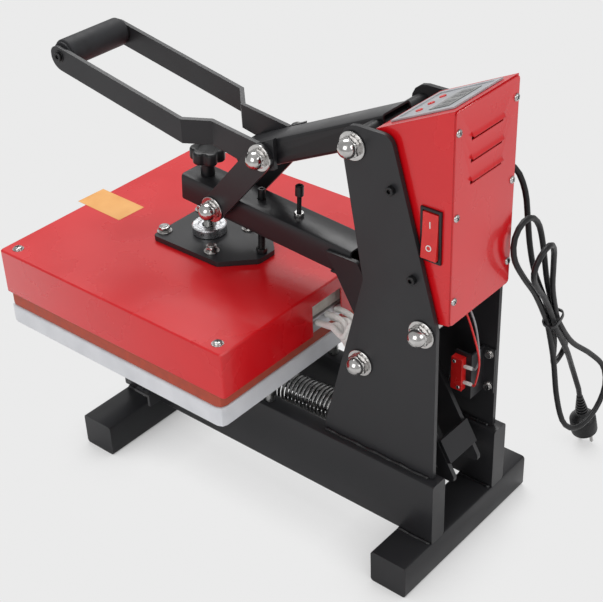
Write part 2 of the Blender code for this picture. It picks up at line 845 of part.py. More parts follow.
def make_links(body):
    """Flat links from the lever down to the arm, with the capped bolt that joins them there."""
    top = Vector((link_top_y, link_top_z))
    low = Vector((arm_link_y, arm_point(arm_link_y).z))
    along = (top - low).normalized()
    across = Vector((-along.y, along.x)) * link_half_width
    steps = 8
    outline = []
    for centre, start in ((top, across * -1), (low, across)):
        for k in range(steps + 1):
            turned = Matrix.Rotation(half_turn * k / steps, 2) @ start
            outline.append((centre.x + turned.x, centre.y + turned.y))
    loops = (outline, circle(top.x, top.y, bore), circle(low.x, low.y, bore))
    for name, side in (("link_right", right), ("link_left", left)):
        make_plate(name, loops, side * link_inside, side * link_outside, black_paint(), body)
    for name, side in (("link_bolt_right", right), ("link_bolt_left", left)):
        start = arm_half + gap
        shoulder = link_inside - gap
        face = link_outside + gap
        profile = [(0, start), (sleeve_radius, start), (sleeve_radius, shoulder), (pivot_radius, shoulder),
                   (pivot_radius, face)]
        flats = (len(profile) + 2, len(profile) + 3)
        profile += nut_profile(face)
        frame = axis_frame(Vector((0, low.x, low.y)), Vector((side, 0, 0)), up)
        bm = bmesh.new()
        add_turned(bm, profile, 24, frame, hexagon=flats)
        keep_mesh(name, bm, bright_steel(), body)


# Head body


def make_head_plate(body):
    """The plate that the pressure screw pushes on, bolted through the cover."""
    corners = ((-mount_half, mount_front_y, mount_round), (mount_half, mount_front_y, mount_round),
               (mount_half, mount_square_y, mount_round), (mount_tip_half, mount_tip_y, mount_round),
               (-mount_tip_half, mount_tip_y, mount_round), (-mount_half, mount_square_y, mount_round))
    outline = [(y, -x) for x, y in rounded(corners, 2)]
    upright = Matrix.Rotation(-half_turn / 2, 4, "Y")
    flat = [(a, b) for a, b in outline]
    bm = bmesh.new()
    add_plate(bm, (flat,), mount_bottom, mount_top, upright)
    keep_mesh("mount_plate", bm, black_paint(), body)


def screw_frame():
    """The pressure screw's axis, square to the arm, from where it meets the arm's middle line."""
    return arm_place(screw_y)


def screw_at(z):
    """The point of the screw's axis at height z."""
    frame = screw_frame()
    origin, along = frame.translation, frame.to_3x3() @ up
    return origin + along * (z - origin.z) / along.z


def make_thrust_collar(body):
    """The collar on the head plate that holds the screw's foot."""
    bm = bmesh.new()
    centre = screw_at(mount_top + collar_height / 2)
    frame = Matrix.Translation((0, centre.y, mount_top + gap))
    inner = screw_radius + 4 * gap
    floor = collar_height / 4
    edge = collar_radius - platen_chamfer
    profile = ((0, 0), (collar_radius, 0), (collar_radius, collar_height - platen_chamfer), (edge, collar_height),
               (inner, collar_height), (inner, floor), (0, floor))
    add_turned(bm, profile, 24, frame)
    keep_mesh("thrust_collar", bm, aluminium(), body)


def make_pressure_knob(body):
    """The lobed knob moulded on its screw, which turns in the arm."""
    frame = screw_frame()
    foot = screw_at(mount_top + collar_height / 4 + 4 * gap)
    length = (frame.translation - foot).length
    top = arm_height / 2 + knob_top
    hub = top - knob_height
    sides = 6 * knob_lobes
    bm = bmesh.new()
    rings = []
    levels = ((screw_radius, -length, 0), (screw_radius, arm_height / 2 + gap, 0),
              (knob_neck_radius, arm_height / 2 + gap, 0), (knob_neck_radius, hub - knob_hub_height / 2, 0),
              (knob_hub_radius, hub, 0), (knob_radius - platen_chamfer, hub, 1),
              (knob_radius, hub + platen_chamfer, 1), (knob_radius, top - platen_chamfer, 1),
              (knob_radius - platen_chamfer, top, 1))
    for radius, height, lobed in levels:
        ring = []
        for k in range(sides):
            turn = full_turn * k / sides
            wave = (1 - math.cos(knob_lobes * turn)) / 2
            reach = radius * (1 - lobed * knob_lobe_share * wave * wave)
            ring.append(frame @ Vector((reach * math.cos(turn), reach * math.sin(turn), height)))
        rings.append(ring)
    add_loft(bm, rings)
    keep_mesh("pressure_knob", bm, black_plastic(), body)


def make_head_cover(body):
    """The sheet-metal cover with the notch for the heater leads in its back wall."""
    inset = cover_sheet
    outer = block_rings(cover_half, cover_front_y, cover_back_y,
                        ((cover_bottom_z, 0), (cover_top - cover_chamfer, 0), (cover_top, cover_chamfer)), cover_round)
    inner = block_rings(cover_half - inset, cover_front_y + inset, cover_back_y - inset,
                        ((cover_top - inset, 0), (cover_bottom_z, 0)), cover_round - inset)
    bm = bmesh.new()
    add_loft(bm, inner + outer)
    piece = keep_mesh("head_cover", bm, red_paint(), body)
    bm = bmesh.new()
    add_box(bm, (-notch_half, cover_back_y - cover_sheet - overrun, cover_bottom_z - overrun),
            (notch_half, cover_back_y + overrun, cover_bottom_z + notch_height))
    cut(piece, keep_mesh("cutter_notch", bm, red_paint()))


def make_heater(body):
    """The aluminium heating platen and the insulation above it."""
    inset = heater_inset
    make_block("heating_platen", cover_half - inset, cover_front_y + inset, cover_back_y - inset,
               heater_bottom, heater_top, platen_round, platen_chamfer, aluminium(), body)
    inset += insulation_inset
    make_block("insulation_board", cover_half - inset, cover_front_y + inset, cover_back_y - inset,
               heater_top + gap, cover_top - cover_sheet - gap, platen_round, platen_chamfer, insulation(), body)


def make_guide_bolt(body):
    """The rod on the head plate that keeps the head square under the arm."""
    frame = arm_place(guide_y)
    origin, along = frame.translation, frame.to_3x3() @ up
    foot = origin + along * (mount_top + gap + guide_radius * arm_tilt - origin.z) / along.z
    length = (origin - foot).length
    top = arm_height / 2 + guide_proud
    socket = guide_radius / 2
    collar = guide_radius + washer_thickness
    profile = ((0, -length), (collar, -length), (collar, -length + nut_height), (guide_radius, -length + nut_height),
               (guide_radius, top), (socket, top), (socket, top - guide_radius), (0, top - guide_radius))
    bm = bmesh.new()
    add_turned(bm, profile, 12, frame)
    keep_mesh("guide_bolt", bm, black_paint(), body)


def smooth_route(points, spacing):
    """Points every spacing along a Catmull-Rom curve through the route's own points."""
    fine = []
    last = len(points) - 1
    divisions = 12
    for number in range(last):
        p0, p1 = points[max(number - 1, 0)], points[number]
        p2, p3 = points[number + 1], points[min(number + 2, last)]
        for k in range(divisions):
            t = k / divisions
            first = 2 * p1 + (p2 - p0) * t
            second = (2 * p0 - 5 * p1 + 4 * p2 - p3) * t * t
            third = (3 * p1 - 3 * p2 + p3 - p0) * t * t * t
            fine.append((first + second + third) / 2)
    fine.append(points[-1])
    total = sum((b - a).length for a, b in zip(fine, fine[1:]))
    count = max(2, round(total / spacing))
    step = total / count
    kept = [fine[0]]
    walked = 0.0
    for a, b in zip(fine, fine[1:]):
        reach = (b - a).length
        while len(kept) < count and walked + reach >= step * len(kept):
            kept.append(a + (b - a) * ((step * len(kept) - walked) / reach))
        walked += reach
    kept.append(fine[-1])
    return kept, total


def make_tube(name, routes, radius, finish, resolution=2, parent=None):
    """A round tube along each route, with filled ends."""
    curve = bpy.data.curves.new(name, "CURVE")
    curve.dimensions = "3D"
    curve.bevel_depth = radius
    curve.bevel_resolution = resolution
    curve.use_fill_caps = True
    for points in routes:
        spline = curve.splines.new("POLY")
        spline.points.add(len(points) - 1)
        for slot, point in zip(spline.points, points):
            slot.co = (*point, 1.0)
        spline.use_smooth = True
    piece = bpy.data.objects.new(name, curve)
    curve.materials.append(finish)
    bpy.context.scene.collection.objects.link(piece)
    if parent is not None:
        piece.parent = parent
        piece.matrix_parent_inverse = Matrix.Translation(-parent.location)
    return piece


# Spring


def make_spring_anchor():
    """The cross bar between the rails that holds the spring's front hook."""
    bm = bmesh.new()
    reach = rail_inside - gap
    add_shaft(bm, anchor_radius, -reach, reach, anchor_y, anchor_z, 12)
    keep_mesh("spring_anchor", bm, black_paint())


def spring_route():
    """Hook round the anchor, coils, and hook round the pin, as one wire."""
    front = Vector((0, anchor_y, anchor_z))
    back = Vector((0, spring_pin_y, spring_pin_z))
    along = (back - front).normalized()
    lift = Vector((1, 0, 0)).cross(along)
    side = Vector((1, 0, 0))
    span = (back - front).length
    body = spring_pitch * spring_coils
    start = (span - body) / 2
    points_per_coil = 8
    hook_steps = 6
    points = []
    hook = anchor_radius + spring_wire + 3 * gap
    for k in range(hook_steps + 1):
        turn = half_turn * (k / hook_steps)
        points.append(front + hook * (-math.sin(turn) * along - math.cos(turn) * lift))
    points.append(front + along * (start / 2) + lift * hook / 2)
    points.append(front + along * (start - spring_pitch) + lift * spring_mean_radius * flat_share)
    for k in range(spring_coils * points_per_coil + 1):
        turn = full_turn * k / points_per_coil
        advance = start + spring_pitch * k / points_per_coil
        outward = math.cos(turn) * lift + math.sin(turn) * side
        points.append(front + along * advance + spring_mean_radius * outward)
    hook = spring_pin_radius + spring_wire + 3 * gap
    points.append(back - along * (start - spring_pitch) + lift * spring_mean_radius * flat_share)
    points.append(back - along * (start / 2) + lift * hook / 2)
    for k in range(hook_steps + 1):
        turn = half_turn * (k / hook_steps)
        points.append(back + hook * (math.sin(turn) * along + math.cos(turn) * lift))
    return points


def least_gap(points, radius, skip):
    """The smallest clear distance of a tube from itself, between points farther apart than skip along it."""
    reach = [0.0]
    for a, b in zip(points, points[1:]):
        reach.append(reach[-1] + (b - a).length)
    best = full_turn
    for number, point in enumerate(points):
        for other in range(number + 1, len(points) - 1):
            if reach[other] - reach[number] < skip:
                continue
            a, b = points[other], points[other + 1]
            t = max(0.0, min(1.0, (point - a).dot(b - a) / (b - a).length_squared))
            best = min(best, (point - a - (b - a) * t).length)
    return best - 2 * radius


def make_spring():
    """The lifting spring, drawn out while the press is shut."""
    points = spring_route()
    clear = least_gap(points, spring_wire, spring_mean_radius)
    print("lift_spring least gap to itself, mm:", round(clear * 1000, 2))
    make_tube("lift_spring", [points], spring_wire, bright_steel(), 1)


# Control box


def slope_frame():
    """On the middle of the box's sloping top: X across, Y up the slope, Z out of it."""
    front = Vector((0, box_front_y, box_front_z))
    back = Vector((0, box_back_y, box_back_z))
    along = (back - front).normalized()
    out = Vector((1, 0, 0)).cross(along)
    turn = Matrix((Vector((1, 0, 0)), along, out)).transposed().to_4x4()
    return Matrix.Translation((front + back) / 2) @ turn, (back - front).length


def box_outline(inset):
    """The box's side profile, moved in by a sheet thickness."""
    corners = (Vector((box_front_y, box_front_z)), Vector((box_back_y, box_back_z)),
               Vector((box_back_y, box_bottom_back_z)), Vector((box_bottom_front_y, box_bottom_front_z)))
    middle = sum(corners, Vector((0, 0))) / len(corners)
    outline = []
    for number, here in enumerate(corners):
        before = (corners[number - 1] - here).normalized()
        after = (corners[(number + 1) % len(corners)] - here).normalized()
        half_angle = before.angle(after) / 2
        inward = (before + after).normalized()
        moved = here + inward * inset / math.sin(half_angle)
        outline.append((moved.x, moved.y))
    return outline, middle


def make_control_box():
    """The folded housing, open at the back, with cut-outs for display, switch and gland."""
    outline, middle = box_outline(0)
    bm = bmesh.new()
    add_plate(bm, (outline,), -box_half, box_half)
    piece = keep_mesh("control_box", bm, red_paint())
    inner, middle = box_outline(box_sheet)
    rim = (inner[0], (box_back_y + overrun, inner[1][1]), (box_back_y + overrun, inner[2][1]), inner[3])
    bm = bmesh.new()
    add_plate(bm, (rim,), -box_half + box_sheet, box_half - box_sheet)
    cut(piece, keep_mesh("cutter_box", bm, red_paint()))
    frame, length = slope_frame()
    body_x = display_half - display_frame / 2 + 2 * gap
    body_y = length / 2 - display_margin - display_frame / 2 + 2 * gap
    bm = bmesh.new()
    add_box(bm, (-body_x, -body_y, -box_sheet - overrun), (body_x, body_y, overrun), frame)
    cut(piece, keep_mesh("cutter_display", bm, red_paint()))
    half_w = switch_width / 2 - switch_frame / 2 + gap
    half_h = switch_height / 2 - switch_frame / 2 + gap
    bm = bmesh.new()
    add_box(bm, (box_half - box_sheet - overrun, switch_y - half_w, switch_z - half_h),
            (box_half + overrun, switch_y + half_w, switch_z + half_h))
    cut(piece, keep_mesh("cutter_switch", bm, red_paint()))
    hole = axis_frame(Vector((-box_half + box_sheet + overrun, gland_y, gland_z)), Vector((-1, 0, 0)), up)
    drill(piece, "gland", hole, boot_radius + gap, 0, 2 * overrun + box_sheet, 12)


def make_rear_panel():
    """The back panel with three pressed louvres, open below."""
    low_z, high_z = box_bottom_back_z, box_back_z - box_sheet
    outline = [(-a, b) for a, b in rectangle(-box_half, low_z, box_half, high_z, cover_round, 2)]
    turned = Matrix.Rotation(half_turn / 2, 4, "Z")
    slot = louvre_height * louvre_slot_share
    slots = []
    for z in louvre_heights:
        slots.append(((-louvre_half, z), (louvre_half, z), (louvre_half, z + slot), (-louvre_half, z + slot)))
    bm = bmesh.new()
    add_plate(bm, [outline] + slots, panel_front_y, panel_back_y, turned)
    piece = keep_mesh("rear_panel", bm, red_paint())
    inside = panel_back_y - panel_sheet / 2
    for number, z in enumerate(louvre_heights):
        low = z + slot + 2 * gap
        hood = ((inside, low), (panel_back_y + louvre_depth, low), (inside, z + louvre_height))
        bm = bmesh.new()
        add_plate(bm, (hood,), -louvre_half - gap, louvre_half + gap)
        weld(piece, keep_mesh("welded_louvre_" + str(number + 1), bm, red_paint()))


def button_places():
    """Button centres in the slope frame."""
    frame, length = slope_frame()
    row = -length / 2 + display_margin + button_row_share * length
    return [((number - 1) * button_spacing, row) for number in range(3)]


def make_display():
    """The moulded display panel set in the slope, and its three buttons."""
    frame, length = slope_frame()
    half_y = length / 2 - display_margin
    body_x = display_half - display_frame / 2
    body_y = half_y - display_frame / 2
    depth = box_sheet + display_body
    rings = []
    for x, y, height in ((body_x, body_y, -depth), (body_x, body_y, gap), (display_half, half_y, gap),
                         (display_half, half_y, display_lip),
                         (display_half - display_frame, half_y - display_frame, display_lip),
                         (display_half - display_frame, half_y - display_frame, display_lip - display_glass)):
        rings.append([frame @ Vector((a, b, height)) for a, b in ((-x, -y), (x, -y), (x, y), (-x, y))])
    bm = bmesh.new()
    add_loft(bm, rings)
    piece = keep_mesh("display_panel", bm, display_grey())
    floor = display_lip - display_glass
    for number, (x, y) in enumerate(button_places()):
        place = frame @ Matrix.Translation((x, y, 0))
        drill(piece, "button_" + str(number), place, button_radius + gap,
              floor - button_seat, floor + overrun, 12)
    return frame


def make_buttons():
    """Round push buttons that stand in wells of the display panel."""
    frame, length = slope_frame()
    floor = display_lip - display_glass
    for number, (x, y) in enumerate(button_places()):
        axis = make_axis("button_axis_" + str(number + 1), frame @ Vector((x, y, floor)))
        place = frame @ Matrix.Translation((x, y, floor))
        low = -button_seat + button_travel + 2 * gap
        profile = ((button_radius, low), (button_radius, button_proud - gap),
                   (button_radius - gap, button_proud))
        bm = bmesh.new()
        add_turned(bm, profile, 12, place)
        keep_mesh("button_" + str(number + 1), bm, red_plastic(), axis)


def make_control_board():
    """The controller board behind the display, with its relay and terminal block soldered on."""
    frame, length = slope_frame()
    half_y = length / 2 - display_margin - display_frame / 2
    half_x = display_half - display_frame / 2
    top = -(box_sheet + display_body) - gap
    under = top - board_thickness
    bm = bmesh.new()
    add_box(bm, (-half_x, -half_y, under), (half_x, half_y, top), frame)
    piece = keep_mesh("control_board", bm, board_green())
    corner = -half_x + terminal_width
    blocks = (("relay", (corner, 0), (corner + relay_size, relay_size), relay_height),
              ("terminals", (half_x - 2 * terminal_width, -half_y / 2), (half_x - terminal_width, half_y / 2),
               relay_height / 2))
    for name, low, high, height in blocks:
        bm = bmesh.new()
        add_box(bm, (*low, under - height), (*high, under + board_thickness / 2), frame)
        weld(piece, keep_mesh("welded_" + name, bm, board_green()))


def make_power_switch():
    """The rocker switch: its bezel and body, and the rocker that tips in it."""
    bm = bmesh.new()
    half_w, half_h = switch_width / 2, switch_height / 2
    inner_w, inner_h = half_w - switch_frame, half_h - switch_frame
    body_w, body_h = half_w - switch_frame / 2, half_h - switch_frame / 2
    rings = []
    for x, w, h in ((box_half - switch_depth, body_w, body_h), (box_half + gap, body_w, body_h),
                    (box_half + gap, half_w, half_h), (box_half + switch_lip, half_w, half_h),
                    (box_half + switch_lip, inner_w, inner_h), (box_half - switch_depth / 2, inner_w, inner_h)):
        rings.append([Vector((x, switch_y + a, switch_z + b)) for a, b in ((-w, -h), (w, -h), (w, h), (-w, h))])
    add_loft(bm, rings)
    keep_mesh("switch_bezel", bm, black_plastic())
    axis = make_axis("rocker_axis", Vector((box_half, switch_y, switch_z)))
    half_w = inner_w - rocker_gap
    half_h = inner_h - rocker_gap - switch_lip / 2
    face = box_half + switch_lip
    valley = face + rocker_proud * rocker_valley_share
    back = box_half - switch_lip
    outline = [(switch_z - half_h, back), (switch_z + half_h, back), (switch_z + half_h, face + gap),
               (switch_z, valley), (switch_z - half_h, face + rocker_proud)]
    bm = bmesh.new()
    turn = Matrix(((0, 0, 1, 0), (1, 0, 0, 0), (0, 1, 0, 0), (0, 0, 0, 1)))
    add_plate(bm, ([(z, x) for z, x in outline],), switch_y - half_w, switch_y + half_w, turn)
    keep_mesh("switch_rocker", bm, red_plastic(), axis)


# Limit switch


def make_limit_switch():
    """The snap switch behind the yoke, its lever and its bent bracket."""
    low_x, high_x = limit_x - limit_thickness / 2, limit_x + limit_thickness / 2
    bm = bmesh.new()
    add_box(bm, (low_x, limit_front_y, limit_bottom_z), (high_x, limit_back_y, limit_top_z))
    keep_mesh("limit_switch", bm, red_plastic())
    hinge = Vector((limit_x, limit_front_y - 2 * limit_lever_thickness, limit_top_z - limit_screw_inset))
    axis = make_axis("limit_lever_axis", hinge)
    half = limit_lever_width / 2
    lean = limit_lever_lean
    near = limit_front_y - gap
    outline = ((near, hinge.z), (near - limit_lever_thickness, hinge.z),
               (near - limit_lever_thickness - lean, hinge.z - limit_lever_length),
               (near - lean, hinge.z - limit_lever_length))
    bm = bmesh.new()
    add_plate(bm, (outline,), limit_x - half, limit_x + half)
    keep_mesh("limit_switch_lever", bm, bright_steel(), axis)
    wing = low_x - gap - bend_thickness
    wall = -plate_inside + gap
    back = limit_back_y + bend_reach / 2
    outline = ((wing, limit_front_y), (wing + bend_thickness, limit_front_y), (wing + bend_thickness, back),
               (wall + bend_thickness, back), (wall + bend_thickness, back + bend_reach), (wall, back + bend_reach),
               (wall, back - bend_thickness), (wing, back - bend_thickness))
    turn = Matrix(((0, 1, 0, 0), (0, 0, 1, 0), (1, 0, 0, 0), (0, 0, 0, 1)))
    bm = bmesh.new()
    add_plate(bm, (outline,), bend_bottom_z, bend_top_z, turn)
    keep_mesh("limit_switch_bracket", bm, black_paint())


# Mains lead


def make_gland():
    """The moulded strain relief in the box's left wall."""
    frame = axis_frame(Vector((-box_half - gap, gland_y, gland_z)), Vector((-1, 0, 0)), up)
    tip = cord_radius + 2 * gap
    ribs = []
    rib_count = 4
    for k in range(rib_count):
        share = k / rib_count
        low = gland_flange + (boot_length - gland_flange) * share
        radius = boot_radius + (tip - boot_radius) * share
        ribs.append((radius, low))
        ribs.append((radius, low + (boot_length - gland_flange) / rib_count / 2))
    inner = -box_sheet - gland_flange
    profile = [(boot_radius, inner), (boot_radius, 0),
               (gland_flange_radius, 0), (gland_flange_radius, gland_flange)]
    profile += ribs + [(tip, boot_length)]
    bm = bmesh.new()
    add_turned(bm, profile, 12, frame)
    keep_mesh("cord_gland", bm, cord_rubber())


hank_lean = 0.47
strand = 2 * cord_radius + 4 * gap
tie_out_share, tie_across_share, tie_square_share = 1.05, 1.55, 0.6

# Where each of the five strands lies in the tie, across and out, in strand widths
tie_place_shares = ((0.0, 0.0), (-1.0, 0.0), (1.0, 0.0), (-0.5, 0.9), (0.5, 0.9))

# Each loop: its two strands, length from the tie (negative goes up), bulge, sway and how far it stands out
hank_loops = (
    (0, 1, 0.128, (0.014, -0.011, -0.019)),
    (1, 2, -0.190, (-0.023, 0.003, -0.001)),
    (2, 3, 0.200, (0.046, 0.004, 0.030)),
    (3, 4, -0.155, (-0.021, 0.007, 0.016)))
loop_steps = 10
loop_bulge_share = 2.6
hank_lead = 0.018
tail_places = ((-0.1860, 0.3380, 0.2050), (-0.2230, 0.3300, 0.1500))
plug_lead = 0.014
cord_spacing = 0.023
free_route = (
    (-0.1000, 0.2835, 0.4960), (-0.1130, 0.2930, 0.4820), (-0.1170, 0.3030, 0.4550),
    (-0.1180, 0.3080, 0.4200),
    (-0.1240, 0.3100, 0.3800), (-0.1330, 0.3140, 0.3400))


def hank_axis():
    """The way the hank hangs, slanting down to the left."""
    return Vector((-hank_lean, 0, -1)).normalized()


def bundle_point(down, across, out):
    """A place in the hank: down its axis from the tie, across it, and out from the machine."""
    axis = hank_axis()
    side = axis.cross(Vector((0, 1, 0)))
    return Vector((tie_x, tie_y, tie_z)) + axis * down + side * across + Vector((0, out, 0))


def in_tie(number, down):
    """Where a strand passes the tie."""
    across, out = tie_place_shares[number]
    return bundle_point(down, across * strand, out * strand)


def loop_points(first, second, length, bulge, sway, stand):
    """A drooping loop that leaves the tie on one strand and comes back on another."""
    start, end = Vector(tie_place_shares[first]) * strand, Vector(tie_place_shares[second]) * strand
    near = 2 * tie_width
    points = []
    for k in range(loop_steps + 1):
        share = k / loop_steps
        swell = math.sin(half_turn * share)
        down = near + (abs(length) - near) * swell
        place = start.lerp(end, share * share * (3 - 2 * share))
        across = place.x + swell * swell * (bulge * loop_bulge_share * math.cos(half_turn * share) + sway)
        points.append(bundle_point(math.copysign(down, length), across, place.y + stand * swell * swell))
    return points


def hank_route():
    """From the free lead, through every loop, to the plug."""
    axis = (plug_toe - plug_top).normalized()
    route = [bundle_point(-hank_lead, 0, 0), bundle_point(-tie_width / 2, 0, 0)]
    for first, second, length, shape in hank_loops:
        route += loop_points(first, second, length, *shape)
    last = len(tie_place_shares) - 1
    route += [in_tie(last, 0), in_tie(last, 2 * tie_width)]
    route += [Vector(place) for place in tail_places]
    route += [plug_top - axis * plug_lead, plug_top - axis * gap]
    return route


def make_cord():
    """The lead from the gland to the hank, and the hank down to the plug."""
    start = Vector((-box_half - gap - boot_length - gap, gland_y, gland_z))
    straight = start - Vector((2 * cord_radius, 0, 0))
    lead_in = bundle_point(-2 * hank_lead, 0, 0)
    end = bundle_point(-hank_lead - gap, 0, 0)
    route = [straight] + [Vector(place) for place in free_route] + [lead_in]
    points, free_length = smooth_route(route, cord_spacing)
    points = [start] + points + [end]
    make_tube("power_cord", [points], cord_radius, cord_rubber(), 2)
    route = hank_route()
    points, hank_length = smooth_route(route[1:-1], cord_spacing)
    points = [route[0]] + points + [route[-1]]
    clear = least_gap(points, cord_radius, 2 * cord_spacing)
    print("cord_hank least gap to itself, mm:", round(clear * 1000, 2))
    print("cord length, m:", round(free_length + hank_length, 3))
    make_tube("cord_hank", [points], cord_radius, cord_rubber(), 1)


def make_tie():
    """A flat plastic tie round the hank's waist."""
    centre = bundle_point(0, 0, strand / 2)
    axis = hank_axis()
    frame = axis_frame(centre - axis * tie_width / 2, axis, Vector((0, 1, 0)))
    half_out = strand * tie_out_share
    half_across = strand * tie_across_share
    bm = bmesh.new()
    rings = []
    sides = 16
    for inner, height in ((1, 0), (0, 0), (0, tie_width), (1, tie_width)):
        ring = []
        for k in range(sides):
            turn = full_turn * k / sides
            shift = 0.0 if inner else tie_thickness
            c, s = math.cos(turn), math.sin(turn)
            a = (half_out + shift) * math.copysign(abs(c) ** tie_square_share, c)
            b = (half_across + shift) * math.copysign(abs(s) ** tie_square_share, s)
            ring.append(frame @ Vector((a, b, height)))
        rings.append(ring)
    add_loft(bm, rings, closed=True)
    keep_mesh("cord_tie", bm, black_plastic())


def make_plug():
    """The moulded plug, which stands on its two pins."""
    axis = (plug_toe - plug_top).normalized()
    frame = axis_frame(plug_top, axis, Vector((1, 0, 0)))
    tip = cord_radius + 2 * gap
    step = plug_relief / 6
    profile = [(tip, 0)]
    for k in range(5):
        radius = tip + (plug_neck_radius - tip) * (k + 1) / 6
        profile.append((radius, step * (k + 1)))
        profile.append((radius - tip / 5, step * (k + 1) + step / 2))
    shoulder = plug_relief + plug_body / 4
    end = plug_relief + plug_body
    profile += [(plug_neck_radius, plug_relief), (plug_radius, shoulder), (plug_radius, end - platen_chamfer),
                (plug_radius - platen_chamfer, end)]
    bm = bmesh.new()
    add_turned(bm, profile, 14, frame)
    piece = keep_mesh("power_plug", bm, black_plastic())
    length = (plug_toe - plug_top).length
    for name, side in (("one", right), ("two", left)):
        pin = frame @ Matrix.Translation((0, side * pin_spacing / 2, 0))
        bm = bmesh.new()
        add_turned(bm, ((pin_radius, end - pin_radius), (pin_radius, length - 2 * pin_radius),
                        (pin_radius / 2, length)), 8, pin)
        weld(piece, keep_mesh("welded_pin_" + name, bm, black_plastic()))


def build_machine():
    """Every piece, body by body."""
    make_feet()
    make_rails()
    make_side_plates()
    make_plate_bolts()
    make_platen_brackets()
    make_standoffs()
    make_lower_platen()
    make_spring_anchor()
    make_spring()

    arm = make_axis("arm_axis", Vector((0, arm_pivot_y, arm_pivot_z)))
    make_main_arm(arm)
    make_yoke(arm)
    make_arm_sleeve(arm)
    make_spring_pin(arm)
    make_stop_screw(arm)

    lever = make_axis("lever_axis", Vector((0, lever_pivot_y, lever_pivot_z)))
    make_lever_tube(lever)
    make_handle_bars(lever)
    make_grip(lever)
    make_pivot_bolt("lever_link_bolt", link_outside, link_top_y, link_top_z, lever)

    link = make_axis("link_axis", Vector((0, link_top_y, link_top_z)))
    make_links(link)

    head = make_axis("head_axis", screw_at(mount_top))
    make_head_plate(head)
    make_thrust_collar(head)
    make_head_cover(head)
    make_heater(head)
    make_guide_bolt(head)
    knob = make_axis("knob_axis", screw_frame().translation)
    make_pressure_knob(knob)

    make_control_box()
    make_rear_panel()
    make_display()
    make_buttons()
    make_control_board()
    make_power_switch()
    make_limit_switch()
    make_gland()
    make_cord()
    make_tie()
    make_plug()


build_machine()
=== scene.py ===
"""Looks of the flat clamshell heat press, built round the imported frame."""

import math

import bmesh
import bpy
from mathutils import Matrix, Vector


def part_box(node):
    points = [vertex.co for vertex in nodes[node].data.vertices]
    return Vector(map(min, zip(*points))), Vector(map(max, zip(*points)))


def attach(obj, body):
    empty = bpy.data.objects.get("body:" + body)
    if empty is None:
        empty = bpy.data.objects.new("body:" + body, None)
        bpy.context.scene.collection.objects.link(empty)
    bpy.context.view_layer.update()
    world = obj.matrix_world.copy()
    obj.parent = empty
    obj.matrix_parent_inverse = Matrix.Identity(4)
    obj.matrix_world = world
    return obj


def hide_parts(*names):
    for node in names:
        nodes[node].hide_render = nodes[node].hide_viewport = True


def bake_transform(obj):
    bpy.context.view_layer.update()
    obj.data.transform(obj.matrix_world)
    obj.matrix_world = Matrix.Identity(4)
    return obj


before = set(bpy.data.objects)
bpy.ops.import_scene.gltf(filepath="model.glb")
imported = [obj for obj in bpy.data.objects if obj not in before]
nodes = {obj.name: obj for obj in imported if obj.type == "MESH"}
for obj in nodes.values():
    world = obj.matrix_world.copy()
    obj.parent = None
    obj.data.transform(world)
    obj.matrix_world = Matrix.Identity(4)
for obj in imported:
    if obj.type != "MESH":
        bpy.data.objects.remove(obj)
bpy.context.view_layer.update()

# Sizes that the part's source names too, in metres
gap = 0.0003
half_turn = math.pi
full_turn = 2 * math.pi
hex_share = math.cos(half_turn / 6)
up = Vector((0, 0, 1))
across = Vector((1, 0, 0))
right, left = 1, -1
plate_face = 0.0685
link_inside, link_face = 0.0321, 0.0371
arm_half, arm_height = 0.023, 0.039
arm_middle_z, arm_tilt = 0.3755, 0.069
screw_y, guide_y, stop_y = -0.1065, -0.0130, 0.0492
cover_top, mount_top = 0.3062, 0.3140
cover_screw_x, cover_screw_ys = 0.1806, (-0.2958, 0.0718)
panel_screw_x, panel_screw_zs = 0.0545, (0.604, 0.504, 0.398)
box_screw_places = ((0.2458, 0.5204), (0.2755, 0.4171))
mount_bolt_x, mount_bolt_ys = 0.037, (-0.160, -0.0725)
box_half = 0.0597
panel_back = 0.3210
pivots = {"lever": (0.1932, 0.5587), "arm": (0.1999, 0.2706), "tie": (0.2891, 0.3488),
          "link": (0.0243, 0.4803)}
arm_link = (-0.0643, 0.3799)
washer_radius, washer_thickness = 0.0175, 0.0025
nut_radius, nut_height = 0.0138, 0.007
dome_radius, dome_height = 0.0115, 0.0115
pivot_radius = 0.008
sleeve_radius = 0.0138
grip_place = Vector((0, -0.3050, 0.5385))
grip_radius, grip_half = 0.0193, 0.0522
bar_face = 0.0585
cord_radius = 0.0037
spring_wire, spring_mean = 0.0021, 0.0222
backdrop, world_strength, shadow_reach = 0.83, 0.5, 0.09
cloud_low, cloud_high = 0.3, 0.7
# Pointiness range over which convex edges are lightened as a painted highlight
highlight_from, highlight_to = 0.535, 0.60
coat_roughness = 0.06
bump_depth = 0.0004
weld_distance, corner_angle = 0.00002, 32
spring_front, spring_back = Vector((0, -0.030, 0.106)), Vector((0, 0.283, 0.124))


def new_nodes(name):
    """A material with an empty node tree but for its output and its Principled shader."""
    made = bpy.data.materials.new(name)
    made.use_nodes = True
    return made, made.node_tree, made.node_tree.nodes["Principled BSDF"]


